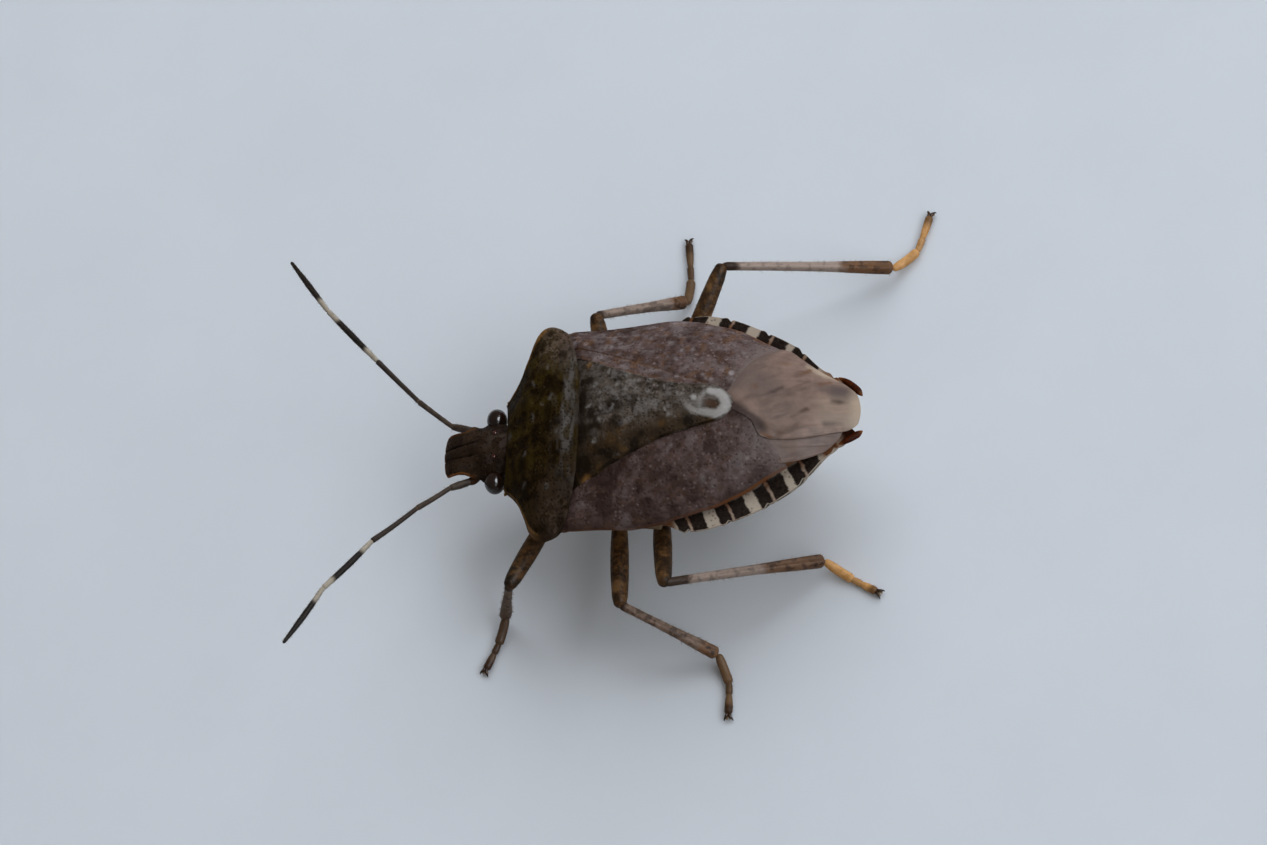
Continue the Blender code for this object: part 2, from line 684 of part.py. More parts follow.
def make_leg(name, joints):
    """Leg as femur, tibia and foot, with a small flat sole on the floor."""
    points = [Vector(p) for p in joints]
    for i, (part, radii) in enumerate(LEG_PARTS.items()):
        is_foot = part == "tarsus"
        item = as_object(f"{part}_{name}", limb(points, i, radii, floor=0.0, settles=is_foot), part)
        if is_foot:
            fuse(item, claws(joints), part)


def place_at_origin():
    """Bring every mesh to metres and move the middle of the model over the origin."""
    nodes = [item for item in bpy.context.scene.objects if item.type == "MESH"]
    for item in nodes:
        for vertex in item.data.vertices:
            vertex.co = vertex.co * MM
        item.data.shade_smooth()
        item.data.set_sharp_from_angle(angle=math.radians(40.0))
        item.data.update()
    places = [vertex.co for item in nodes for vertex in item.data.vertices]
    middle = [(min(p[k] for p in places) + max(p[k] for p in places)) / 2 for k in range(2)]
    root = bpy.data.objects.new("root", None)
    root.location = (-middle[0], -middle[1], 0.0)
    bpy.context.scene.collection.objects.link(root)
    for item in nodes:
        item.parent = root


def main():
    remove_scene_objects()
    make_head()
    make_rostrum()
    make_pronotum()
    make_scutellum()
    make_membranes()
    make_thorax()
    make_abdomen()
    for side in (1, -1):
        make_eye(side)
        make_antenna(side)
        make_corium(side)
    for name, joints in LEG_JOINTS.items():
        make_leg(name, joints)
    place_at_origin()


if __name__ == "__main__":
    main()
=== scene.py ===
"""Looks of a life-size standing shield bug: its plates, wings, legs, feelers, eyes and bristles.

Lengths are millimetres of the bug's own frame, where x points to its left, y runs from the front of the
head towards the tail and z is the height over the floor. Finished meshes are brought to metres and moved
by the frame's own shift.
"""

import itertools
import logging
import math
from dataclasses import dataclass, field
from enum import Enum

import bmesh
import bpy
import numpy as np
from mathutils import Matrix, Vector

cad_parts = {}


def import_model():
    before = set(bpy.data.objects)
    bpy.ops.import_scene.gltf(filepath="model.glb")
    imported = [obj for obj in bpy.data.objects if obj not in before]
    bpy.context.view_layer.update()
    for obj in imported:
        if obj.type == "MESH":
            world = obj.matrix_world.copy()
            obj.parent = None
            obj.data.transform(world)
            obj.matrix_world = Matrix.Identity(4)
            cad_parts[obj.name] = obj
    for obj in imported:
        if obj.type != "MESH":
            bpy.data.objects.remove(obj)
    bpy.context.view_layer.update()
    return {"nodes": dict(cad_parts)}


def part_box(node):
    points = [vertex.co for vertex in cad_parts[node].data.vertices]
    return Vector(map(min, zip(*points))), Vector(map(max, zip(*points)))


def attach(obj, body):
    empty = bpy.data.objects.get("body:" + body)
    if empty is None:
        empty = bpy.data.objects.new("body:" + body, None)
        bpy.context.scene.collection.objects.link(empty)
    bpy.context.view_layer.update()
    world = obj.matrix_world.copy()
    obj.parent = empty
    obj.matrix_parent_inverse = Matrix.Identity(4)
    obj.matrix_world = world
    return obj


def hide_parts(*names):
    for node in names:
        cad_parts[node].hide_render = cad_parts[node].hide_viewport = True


MM = 0.001
ROOT = "root"
SCUTELLUM_TIP = 10.42
NEIGHBOURS = np.array(list(itertools.product((-1, 0, 1), repeat=3)))
CORNERS = np.array(list(itertools.product((0, 1), repeat=3)))

Array = np.ndarray
Colour = tuple[float, float, float]
log = logging.getLogger("shield_bug")


class Side(Enum):
    """Sides of the bug, as the sign of x."""

    LEFT = 1
    RIGHT = -1

    @property
    def word(self) -> str:
        """Name of the side in the names of nodes."""
        return self.name.lower()

    def mirror(self, points: tuple[float, float, float] | Array) -> Array:
        """Points of the left side, or their mirror image on the right."""
        return np.array(points) * (self.value, 1, 1)


def held(value: Array | float) -> Array:
    """Values held between 0 and 1."""
    return np.clip(value, 0.0, 1.0)


def ramp(low: float, high: float, value: Array | float) -> Array:
    """Share from 0 to 1 of each value's way from low to high, with soft ends."""
    t = held((np.asarray(value, float) - low) / (high - low))
    return t * t * (3.0 - 2.0 * t)


def fall(low: float, high: float, value: Array | float) -> Array:
    """Mask that falls softly from 1 at low to 0 at high."""
    return 1.0 - ramp(low, high, value)


def shares(count: int) -> Array:
    """Even shares from 0 to 1."""
    return np.linspace(0.0, 1.0, count)


def mix(a: Array | float, b: Array | float, t: Array | float) -> Array:
    """Value at the share t of the way from a to b."""
    return a + (b - a) * t


def unit(way: Array) -> Array:
    """Directions of length 1."""
    return way / np.maximum(np.linalg.norm(way, axis=-1, keepdims=True), 1e-9)


def direction(start: Array, end: Array) -> Array:
    """Direction of length 1 from one point to another."""
    return unit(end - start)


def window(low: float, high: float, soft: float, value: Array) -> Array:
    """Mask that is 1 between low and high and fades over the soft width outside them."""
    return ramp(low - soft, low, value) * fall(high, high + soft, value)


def bell(value: Array, middle: float, width: float) -> Array:
    """Mask that is 1 at the middle and fades like a bell over the width."""
    return np.exp(-((value - middle) / width) ** 2)


def spot(x: Array, y: Array, place: tuple[float, float], size: tuple[float, float],
         turn: float = 0.0) -> Array:
    """Soft oval mask on a surface seen from above.

    Args:
        x: Distances to the left.
        y: Distances from the head's front.
        place: Middle of the oval.
        size: Half its width and half its length.
        turn: Degrees that its length leans towards the left.

    Returns:
        Mask of 1 in the middle and 0 well outside.
    """
    a = math.radians(turn)
    dx, dy = x - place[0], y - place[1]
    across = (dx * math.cos(a) - dy * math.sin(a)) / size[0]
    along = (dx * math.sin(a) + dy * math.cos(a)) / size[1]
    return np.exp(-((across ** 2 + along ** 2) ** 1.5))


def pair(x: Array, y: Array, place: tuple[float, float], size: tuple[float, float],
         turn: float) -> Array:
    """Soft oval on the left, given like a spot, and its mirror image on the right."""
    return sum(spot(x, y, (side.value * place[0], place[1]), size, side.value * turn) for side in Side)


def scatter(x: Array, y: Array, places: tuple[tuple[float, float], ...],
            size: tuple[float, float]) -> Array:
    """Soft ovals of one size, given like a spot, at several places."""
    return sum(spot(x, y, place, size) for place in places)


def stroke(x: Array, y: Array, line: tuple[tuple[float, float, float, float], ...],
           soft: float = 0.05) -> Array:
    """Soft mask along a line drawn on a surface seen from above.

    Args:
        x: Distances to the left.
        y: Distances from the head's front.
        line: Its stations (x, y, half width, strength).
        soft: Half the width over which its edges fade.

    Returns:
        Mask of each station's strength on the line and 0 beside it.
    """
    mask = np.zeros(np.shape(x))
    for (x0, y0, wide0, strong0), (x1, y1, wide1, strong1) in zip(line, line[1:]):
        way = np.array((x1 - x0, y1 - y0))
        t = held(((x - x0) * way[0] + (y - y0) * way[1]) / (way @ way))
        far = np.hypot(x - x0 - t * way[0], y - y0 - t * way[1])
        wide = mix(wide0, wide1, t)
        mask = np.maximum(mask, mix(strong0, strong1, t) * ramp(soft, -soft, far - wide))
    return mask


def hashed(cells: Array, seed: int) -> Array:
    """Values from 0 to 1 that look random, the same each time for the same cell.

    Args:
        cells: Whole numbers (..., 3).
        seed: Number of the pattern.

    Returns:
        One value for each cell.
    """
    a = cells.astype(np.int64)
    mixed = a[..., 0] * 374761393 + a[..., 1] * 668265263 + a[..., 2] * 2147483647 + seed * 1442695041
    mixed = (mixed ^ (mixed >> 13)) * 1274126177
    mixed = mixed ^ (mixed >> 16)
    return (mixed & 0xFFFFFF) / float(0xFFFFFF)


@dataclass(frozen=True)
class Pattern:
    """Soft noise: the width of its largest blotches, its number and how many finer layers it has."""

    size: float
    seed: int
    octaves: int = 3

    def at(self, points: Array, variant: int = 0) -> Array:
        """Noise from 0 to 1.

        Args:
            points: Places (..., 3).
            variant: Number of another pattern of the same kind.

        Returns:
            Noise at each place.
        """
        total, weight = np.zeros(points.shape[:-1]), 0.0
        for octave in range(self.octaves):
            place = points / (self.size / 2 ** octave)
            cell = np.floor(place)
            t = place - cell
            t = t * t * (3.0 - 2.0 * t)
            for corner in CORNERS:
                share = np.prod(np.where(corner == 1, t, 1.0 - t), axis=-1)
                total += share * hashed(cell + corner, self.seed + variant + octave) / 2 ** octave
            weight += 1.0 / 2 ** octave
        return total / weight

    def sway(self, points: Array, amount: float, variant: int = 0) -> Array:
        """Noise about zero, of the given amount from its lowest to its highest."""
        return amount * (self.at(points, variant) - 0.5)

    def patches(self, points: Array, low: float, high: float, variant: int = 0) -> Array:
        """Mask of the places where the noise is high."""
        return ramp(low, high, self.at(points, variant))


@dataclass(frozen=True)
class Pitting:
    """Round pits strewn over a plate: their usual distance, widest radius, depth and pattern's number."""

    spacing: float
    radius: float
    depth: float
    seed: int

    def at(self, points: Array, variant: int = 0) -> Array:
        """Depths from 0 to 1.

        Args:
            points: Places (..., 3).
            variant: Number of another pattern of the same kind.

        Returns:
            Depth at each place.
        """
        place = points / self.spacing
        cell = np.floor(place)
        nearest = np.full(points.shape[:-1], 9.0)
        for step in NEIGHBOURS:
            other = cell + step
            jitter = np.stack([hashed(other, self.seed + variant + k) for k in range(3)], axis=-1)
            centre = other + 0.5 + 0.8 * (jitter - 0.5)
            nearest = np.minimum(nearest, np.linalg.norm(place - centre, axis=-1))
        return ramp(self.radius, 0.35 * self.radius, nearest * self.spacing)


@dataclass(frozen=True)
class Curve:
    """Smooth curve through stations (place, value) that never swings past them."""

    stations: tuple[tuple[float, float], ...]

    def __call__(self, t: Array | float) -> Array:
        """Value at each place, held level past the ends.

        Args:
            t: Places along the curve.

        Returns:
            The values there.
        """
        places = np.array([p for p, _ in self.stations], float)
        values = np.array([v for _, v in self.stations], float)
        step, rise = np.diff(places), np.diff(values)
        secant = rise / step
        before, after = secant[:-1], secant[1:]
        same_way = before * after > 0.0
        inner = np.where(same_way, 2.0 * before * after / np.where(same_way, before + after, 1.0), 0.0)
        slopes = np.concatenate([secant[:1], inner, secant[-1:]])
        t = np.clip(np.asarray(t, float), places[0], places[-1])
        i = np.clip(np.searchsorted(places, t, side="right") - 1, 0, len(step) - 1)
        s = (t - places[i]) / step[i]
        start, end = slopes[i] * step[i], slopes[i + 1] * step[i]
        return (values[i] + s * start + s * s * (3.0 * rise[i] - 2.0 * start - end)
                + s ** 3 * (start + end - 2.0 * rise[i]))


@dataclass(frozen=True)
class Path:
    """Smooth path through points of two or three coordinates."""

    points: tuple[tuple[float, ...] | Array, ...]

    def __call__(self, share: Array | float) -> Array:
        """Points at shares of the path's length.

        Args:
            share: Shares from 0 to 1.

        Returns:
            Points, one row for each share.
        """
        points = np.array(self.points, float)
        lengths = np.concatenate([[0.0], np.cumsum(np.linalg.norm(np.diff(points, axis=0), axis=1))])
        at = np.asarray(share, float) * lengths[-1]
        tracks = [Curve(tuple(zip(lengths, column)))(at) for column in points.T]
        return np.stack(tracks, axis=-1)


@dataclass(frozen=True)
class BodyForm:
    """Outline and heights of the body that all plates follow, the same as in the solids."""

    back: Curve = Curve(((2.2, 3.80), (2.6, 4.10), (3.2, 4.48), (4.0, 4.78), (5.1, 5.00), (6.5, 5.12),
                         (8.5, 5.08), (10.4, 4.85), (11.5, 4.50), (12.8, 4.02), (14.5, 3.38)))
    edge: Curve = Curve(((2.2, 3.44), (3.9, 4.29), (5.0, 4.20), (6.0, 4.08), (8.7, 3.83), (10.0, 3.77),
                         (11.3, 3.56), (12.5, 3.50), (14.4, 3.14)))
    belly: Curve = Curve(((2.3, 1.95), (3.5, 1.62), (5.0, 1.50), (7.2, 1.35), (8.5, 1.12), (10.0, 1.05),
                          (11.5, 1.15), (12.5, 1.35), (13.5, 1.65), (14.45, 2.05)))
    width: Curve = Curve(((2.2, 1.64), (2.7, 2.25), (3.1, 3.10), (3.5, 3.82), (3.9, 4.00), (4.6, 3.72),
                          (5.6, 3.74), (7.0, 3.86), (8.2, 3.98), (9.0, 4.00), (10.0, 3.80), (11.3, 3.22),
                          (12.3, 2.58), (13.2, 1.66), (13.9, 1.24), (14.45, 0.72)))
    wing_width: Curve = Curve(((4.4, 3.74), (5.0, 3.76), (5.6, 3.76), (7.0, 3.84), (7.8, 3.85), (8.6, 3.74),
                               (9.4, 3.52), (10.5, 3.10), (11.4, 2.52), (12.0, 2.16), (12.8, 1.68), (13.4, 1.22),
                               (14.0, 0.76), (14.4, 0.36)))
    wing_shift: Curve = Curve(((6.8, 0.0), (7.7, 0.09), (8.5, 0.17), (9.1, 0.16), (9.7, 0.10), (10.5, 0.12),
                               (12.6, 0.12), (13.6, 0.05), (14.5, 0.0)))
    wing_inset: float = 0.04
    shield_back: tuple[float, float] = (5.20, 4.55)
    shield_width: float = 3.62
    shield_reach: float = 2.5
    tuck_depth: float = 0.085
    roundness: float = 2.4

    def back_at(self, x: Array, y: Array) -> Array:
        """Height of the back at places seen from above."""
        share = np.minimum(np.abs(x) / self.width(y), 1.0)
        return mix(self.back(y), self.edge(y), share ** self.roundness)

    def wing_edge(self, side: Side, y: Array) -> Array:
        """Distance of the folded wing's outer edge from the midline."""
        return self.wing_width(y) - side.value * self.wing_shift(y) - self.wing_inset

    def tuck(self, x: Array, y: Array) -> Array:
        """Depth by which a plate dips to pass under the pronotum's hind edge.

        Args:
            x: Distances to the left.
            y: Distances from the head's front.

        Returns:
            The depths.
        """
        share = np.minimum(np.abs(x) / self.shield_width, 1.0)
        line = mix(*self.shield_back, share ** self.shield_reach)
        return self.tuck_depth * fall(-0.05, 0.20, y - line)


BODY = BodyForm()


def lattice(rows: int, columns: int) -> tuple[Array, Array]:
    """Shares from 0 to 1 down the rows and across the columns of a grid."""
    return np.meshgrid(shares(rows), shares(columns), indexing="ij")


def quads(grid: Array) -> Array:
    """Four-cornered faces between neighbouring numbers of a grid of point numbers."""
    a, b, c, d = grid[:-1, :-1], grid[:-1, 1:], grid[1:, 1:], grid[1:, :-1]
    return np.stack([a, b, c, d], axis=-1).reshape(-1, 4)


class Shape:
    """Mesh in progress: points, faces and named values at the points that finishes read."""

    def __init__(self) -> None:
        """Start with nothing in it."""
        self.points: list[Array] = []
        self.faces: list[tuple[int, ...]] = []
        self.values: list[dict[str, Array]] = []
        self.count = 0

    def add(self, points: Array, faces: list[list[int]], **values: Array | float) -> None:
        """Add one closed surface.

        Args:
            points: Its points (n, 3).
            faces: Its faces as numbers of those points.
            **values: Named values, one for each point or one for all.
        """
        shift = self.count
        self.points.append(points)
        self.faces.extend(tuple(corner + shift for corner in face) for face in faces)
        self.values.append({name: np.broadcast_to(value, len(points)) for name, value in values.items()})
        self.count += len(points)

    def add_plate(self, top: Array, bottom: Array, below: dict[str, Array] | None = None,
                  **values: Array) -> None:
        """Add a closed plate between two grids of points that share their border.

        Args:
            top: Upper points (rows, columns, 3).
            bottom: Lower points of the same shape.
            below: Named values that differ on the lower side.
            **values: Named values at the grid's points, held between 0 and 1.
        """
        below = below or {}
        rows, columns = top.shape[:2]
        upper = np.arange(rows * columns).reshape(rows, columns)
        lower = upper.copy()
        lower[1:-1, 1:-1] = rows * columns + np.arange((rows - 2) * (columns - 2)).reshape(rows - 2, columns - 2)
        points = np.concatenate([top.reshape(-1, 3), bottom[1:-1, 1:-1].reshape(-1, 3)])
        doubled = {name: np.concatenate([value.ravel(), below.get(name, value)[1:-1, 1:-1].ravel()]).clip(0.0, 1.0)
                   for name, value in values.items()}
        self.add(points, np.concatenate([quads(upper), quads(lower)[:, ::-1]]).tolist(), **doubled)

    def add_tube(self, rings: Array, **values: Array | float) -> None:
        """Add a closed tube through rings of points, with one more point at each end.

        Args:
            rings: Points (rings, sides, 3).
            **values: Named values, one for each point, ring or side, or one for all.
        """
        count, sides = rings.shape[:2]
        numbers = np.arange(count * sides).reshape(count, sides)
        around = np.concatenate([numbers, numbers[:, :1]], axis=1)
        first, last = count * sides, count * sides + 1
        faces = quads(around).tolist()
        faces += [(first, int(a), int(b)) for a, b in zip(around[0, 1:], around[0, :-1])]
        faces += [(last, int(a), int(b)) for a, b in zip(around[-1, :-1], around[-1, 1:])]
        points = np.concatenate([rings.reshape(-1, 3), rings[[0, -1]].mean(axis=1)])
        full = {name: np.broadcast_to(value, (count, sides)) for name, value in values.items()}
        self.add(points, faces, **{name: np.append(value, value[[0, -1], 0]) for name, value in full.items()})

    def make(self, name: str, shift: Vector, crease: float = 50.0) -> bpy.types.Object:
        """Turn it into an object in metres.

        Args:
            name: The object's name.
            shift: The frame's shift in millimetres.
            crease: Degrees between faces over which an edge stays sharp.

        Returns:
            The new object, smooth-shaded, with its named values as point attributes.
        """
        points = (np.concatenate(self.points) + np.array(shift)) * MM
        mesh = bpy.data.meshes.new(name)
        mesh.from_pydata(points.tolist(), [], self.faces)
        work = bmesh.new()
        work.from_mesh(mesh)
        bmesh.ops.recalc_face_normals(work, faces=work.faces)
        work.to_mesh(mesh)
        work.free()
        names = sorted({value for values in self.values for value in values})
        for key in names:
            full = [values.get(key, np.zeros(len(part))) for part, values in zip(self.points, self.values)]
            layer = mesh.attributes.new(key, "FLOAT", "POINT")
            layer.data.foreach_set("value", np.concatenate(full).astype(np.float32))
        mesh.shade_smooth()
        mesh.set_sharp_from_angle(angle=math.radians(crease))
        item = bpy.data.objects.new(name, mesh)
        bpy.context.scene.collection.objects.link(item)
        return item


def rings_round(centres: Array, radii: Array, sides: int, tall: float = 1.0,
                floor: float | None = None) -> Array:
    """Rings of points round a line.

    Args:
        centres: Points of the line (n, 3).
        radii: Radius at each of them.
        sides: Points in each ring.
        tall: Height of a ring as a share of its width.
        floor: Height that no point goes below, if any.

    Returns:
        Points (n, sides, 3).
    """
    ahead = np.gradient(centres, axis=0)
    ahead /= np.linalg.norm(ahead, axis=1, keepdims=True)
    across = np.cross(ahead, (0.0, 0.0, 1.0))
    across /= np.linalg.norm(across, axis=1, keepdims=True)
    up = np.cross(across, ahead)
    angle = math.tau * np.arange(sides) / sides
    wide = (np.asarray(radii)[:, None] * np.cos(angle))[..., None] * across[:, None]
    high = (np.asarray(radii)[:, None] * np.sin(angle) * tall)[..., None] * up[:, None]
    rings = centres[:, None] + wide + high
    if floor is not None:
        rings[..., 2] = np.maximum(rings[..., 2], floor)
    return rings


def rounded_ends(shares: Array, length: float, first: float, last: float) -> Array:
    """Factor that closes a tube's radius over its two ends like a dome.

    Args:
        shares: Shares of the tube's length.
        length: That length.
        first: Length of the dome at the start.
        last: Length of the dome at the end.

    Returns:
        Factor from near 0 to 1 at each share.
    """
    at = shares * length
    start = np.sqrt(np.clip(1.0 - (1.0 - held(at / first)) ** 2, 0.0004, 1.0))
    end = np.sqrt(np.clip(1.0 - (1.0 - held((length - at) / last)) ** 2, 0.0004, 1.0))
    return start * end


class Graph:
    """Short way to add and join the nodes of one shader tree."""

    def __init__(self, tree: bpy.types.NodeTree) -> None:
        """Keep the tree."""
        self.tree = tree

    def add(self, kind: str, inputs: dict | None = None, **settings: object) -> bpy.types.Node:
        """Add a node.

        Args:
            kind: Blender's type name of the node.
            inputs: Values for its sockets, or other sockets to join to them.
            **settings: Properties of the node.

        Returns:
            The node.
        """
        node = self.tree.nodes.new(kind)
        for key, value in settings.items():
            setattr(node, key, value)
        for key, value in (inputs or {}).items():
            if isinstance(value, bpy.types.NodeSocket):
                self.tree.links.new(value, node.inputs[key])
            else:
                node.inputs[key].default_value = value
        return node

    def blend(self, amount: object, a: object, b: object) -> bpy.types.NodeSocket:
        """Colour between a and b."""
        a, b = ((*c, 1.0) if isinstance(c, tuple) else c for c in (a, b))
        return self.add("ShaderNodeMix", {0: amount, 6: a, 7: b}, data_type="RGBA").outputs[2]

    def maths(self, operation: str, a: object, b: object = 0.0) -> bpy.types.NodeSocket:
        """Result of one sum."""
        return self.add("ShaderNodeMath", {0: a, 1: b}, operation=operation).outputs[0]

    def value(self, name: str) -> bpy.types.NodeSocket:
        """Named value that a mesh carries at its points."""
        return self.add("ShaderNodeAttribute", attribute_name=name).outputs["Fac"]

    def group(self, tree: bpy.types.NodeTree, inputs: dict) -> bpy.types.Node:
        """Place a group with its own values.

        Args:
            tree: The group.
            inputs: Values for its sockets.

        Returns:
            The group's node.
        """
        node = self.tree.nodes.new("ShaderNodeGroup")
        node.node_tree = tree
        for key, value in inputs.items():
            node.inputs[key].default_value = value
        return node


class Effects:
    """Shader groups that several finishes share, each built once."""

    def __init__(self) -> None:
        """Build the groups."""
        self.mottle = self.build_mottle()
        self.speckle = self.build_speckle()
        self.relief = self.build_relief()

    @staticmethod
    def new_group(name: str, inputs: dict[str, float], outputs: list[str]) -> tuple:
        """Group with number sockets, and its surface coordinates in millimetres.

        Args:
            name: The group's name.
            inputs: Names and first values of what goes in.
            outputs: Names of what comes out.

        Returns:
            The tree, its graph, its input and output nodes, and the coordinates' socket.
        """
        tree = bpy.data.node_groups.new(name, "ShaderNodeTree")
        for key, value in inputs.items():
            tree.interface.new_socket(key, in_out="INPUT", socket_type="NodeSocketFloat").default_value = value
        for key in outputs:
            tree.interface.new_socket(key, in_out="OUTPUT", socket_type="NodeSocketFloat")
        graph = Graph(tree)
        given = graph.add("NodeGroupInput")
        result = graph.add("NodeGroupOutput")
        place = graph.add("ShaderNodeTexCoord").outputs["Object"]
        scaled = graph.add("ShaderNodeVectorMath", {0: place, "Scale": 1.0 / MM}, operation="SCALE")
        return tree, graph, given, result, scaled.outputs[0]

    def build_mottle(self) -> bpy.types.NodeTree:
        """Cloudy blotches between two noise levels.

        Returns:
            The group.
        """
        tree, graph, given, result, place = self.new_group(
            "mottled_colour", {"Size": 0.5, "Low": 0.45, "High": 0.6, "Seed": 0.0}, ["Mask"])
        scale = graph.maths("DIVIDE", 1.0, given.outputs["Size"])
        noise = graph.add("ShaderNodeTexNoise", {"Vector": place, "W": given.outputs["Seed"], "Scale": scale,
                                                 "Detail": 5.0, "Roughness": 0.62}, noise_dimensions="4D")
        ranged = graph.add("ShaderNodeMapRange", {"Value": noise.outputs[0], "From Min": given.outputs["Low"],
                                                  "From Max": given.outputs["High"]})
        tree.links.new(ranged.outputs[0], result.inputs["Mask"])
        return tree

    def build_speckle(self) -> bpy.types.NodeTree:
        """Small round specks, of which only a share is kept.

        Returns:
            The group.
        """
        tree, graph, given, result, place = self.new_group(
            "fine_specks", {"Size": 0.12, "Reach": 0.4, "Share": 0.5, "Seed": 0.0}, ["Mask"])
        scale = graph.maths("DIVIDE", 1.0, given.outputs["Size"])
        sway = graph.add("ShaderNodeTexNoise", {"Vector": place, "Scale": 11.0, "Detail": 2.0}).outputs["Color"]
        moved = graph.add("ShaderNodeVectorMath", {0: sway, "Scale": 0.11}, operation="SCALE").outputs[0]
        moved = graph.add("ShaderNodeVectorMath", {0: place, 1: moved}, operation="ADD").outputs[0]
        cells = graph.add("ShaderNodeTexVoronoi", {"Vector": moved, "W": given.outputs["Seed"], "Scale": scale},
                          voronoi_dimensions="4D")
        near = graph.add("ShaderNodeMapRange", {"Value": cells.outputs["Distance"], "From Min": given.outputs["Reach"],
                                                "From Max": graph.maths("MULTIPLY", given.outputs["Reach"], 0.25)})
        chance = graph.add("ShaderNodeSeparateColor", {"Color": cells.outputs["Color"]}).outputs[0]
        kept = graph.maths("LESS_THAN", chance, given.outputs["Share"])
        tree.links.new(graph.maths("MULTIPLY", near.outputs[0], kept), result.inputs["Mask"])
        return tree

    def build_relief(self) -> bpy.types.NodeTree:
        """Fine skin relief of wrinkles and pores.

        Returns:
            The group.
        """
        tree, graph, given, result, place = self.new_group(
            "fine_relief", {"Size": 0.06, "Pores": 0.5, "Seed": 0.0}, ["Height"])
        scale = graph.maths("DIVIDE", 1.0, given.outputs["Size"])
        noise = graph.add("ShaderNodeTexNoise", {"Vector": place, "W": given.outputs["Seed"], "Scale": scale,
                                                 "Detail": 4.0}, noise_dimensions="4D")
        cells = graph.add("ShaderNodeTexVoronoi", {"Vector": place, "Scale": scale})
        pore = graph.maths("MULTIPLY", graph.maths("MINIMUM", cells.outputs["Distance"], 0.5),
                           given.outputs["Pores"])
        tree.links.new(graph.maths("ADD", noise.outputs[0], pore), result.inputs["Height"])
        return tree


@dataclass(frozen=True)
class Finish:
    """Finish of one kind of surface.

    Its ground colour is mottled and specked, and each of its layers is laid on where the mesh carries the
    value of that name.
    """

    name: str
    slot: str
    ground: Colour
    mottled: Colour
    mottle: tuple[float, float, float] = (0.45, 0.42, 0.62)
    specks: Colour = (0.1, 0.08, 0.06)
    speck: tuple[float, float, float] = (0.12, 0.45, 0.0)
    layers: tuple[tuple[str, Colour], ...] = ()
    roughness: tuple[float, float] = (0.42, 0.60)
    relief: tuple[float, float, float] = (0.06, 0.5, 0.006)
    coat: float = 0.0
    specular: float = 0.10
    wear: float = 0.10
    seed: float = 0.0

    def material(self, effects: Effects) -> bpy.types.Material:
        """Build the material.

        Args:
            effects: The shared shader groups.

        Returns:
            The new material.
        """
        material = bpy.data.materials.new(self.name)
        material.use_nodes = True
        graph = Graph(material.node_tree)
        shader = material.node_tree.nodes["Principled BSDF"]
        size, low, high = self.mottle
        blotch = graph.group(effects.mottle, {"Size": size, "Low": low, "High": high, "Seed": self.seed})
        colour = graph.blend(blotch.outputs[0], self.ground, self.mottled)
        size, reach, share = self.speck
        if share > 0.0:
            dots = graph.group(effects.speckle, {"Size": size, "Reach": reach, "Share": share, "Seed": self.seed})
            colour = graph.blend(dots.outputs[0], colour, self.specks)
        grain = graph.group(effects.mottle, {"Size": 0.09, "Low": 0.35, "High": 0.65, "Seed": self.seed + 3.0})
        for name, tint in self.layers:
            amount = graph.value(name)
            worn = graph.maths("ADD", 1.0 - self.wear, graph.maths("MULTIPLY", grain.outputs[0], self.wear))
            colour = graph.blend(graph.maths("MULTIPLY", amount, worn), colour, tint)
        material.node_tree.links.new(colour, shader.inputs["Base Color"])
        gloss = graph.add("ShaderNodeMapRange", {"Value": grain.outputs[0], "To Min": self.roughness[0],
                                                 "To Max": self.roughness[1]})
        material.node_tree.links.new(gloss.outputs[0], shader.inputs["Roughness"])
        size, pores, height = self.relief
        fine = graph.group(effects.relief, {"Size": size, "Pores": pores, "Seed": self.seed})
        bump = graph.add("ShaderNodeBump", {"Height": fine.outputs[0], "Distance": height * MM})
        material.node_tree.links.new(bump.outputs[0], shader.inputs["Normal"])
        shader.inputs["Specular IOR Level"].default_value = self.specular
        shader.inputs["Coat Weight"].default_value = self.coat
        shader.inputs["Coat Roughness"].default_value = 0.08
        return material


BLACK = (0.007, 0.004, 0.003)
PRONOTUM_SKIN = Finish("pronotum_skin", "dark_shield", (0.0110, 0.0058, 0.0014), (0.029, 0.0175, 0.0044),
                       mottle=(0.30, 0.42, 0.60), specks=(0.050, 0.038, 0.017), speck=(0.12, 0.46, 0.42),
                       layers=(("olive", (0.035, 0.0220, 0.0040)), ("grey", (0.056, 0.047, 0.041)),
                               ("tan", (0.105, 0.075, 0.053)), ("rim", (0.19, 0.098, 0.034)),
                               ("blush", (0.078, 0.050, 0.041)), ("dusk", (0.030, 0.0185, 0.0155)),
                               ("dark", (0.007, 0.004, 0.002)),
                               ("pale", (0.120, 0.110, 0.104)), ("pit", BLACK)), specular=0.012, seed=1.0)
HEAD_SKIN = Finish("head_skin", "dark_shield", (0.0180, 0.0098, 0.0060), (0.034, 0.0205, 0.0128),
                   specks=(0.058, 0.038, 0.024), speck=(0.10, 0.42, 0.30),
                   layers=(("under", (0.24, 0.17, 0.09)), ("rose", (0.050, 0.036, 0.030)),
                           ("rim", (0.15, 0.056, 0.015)), ("dark", BLACK), ("pit", BLACK)), specular=0.02, seed=2.0)
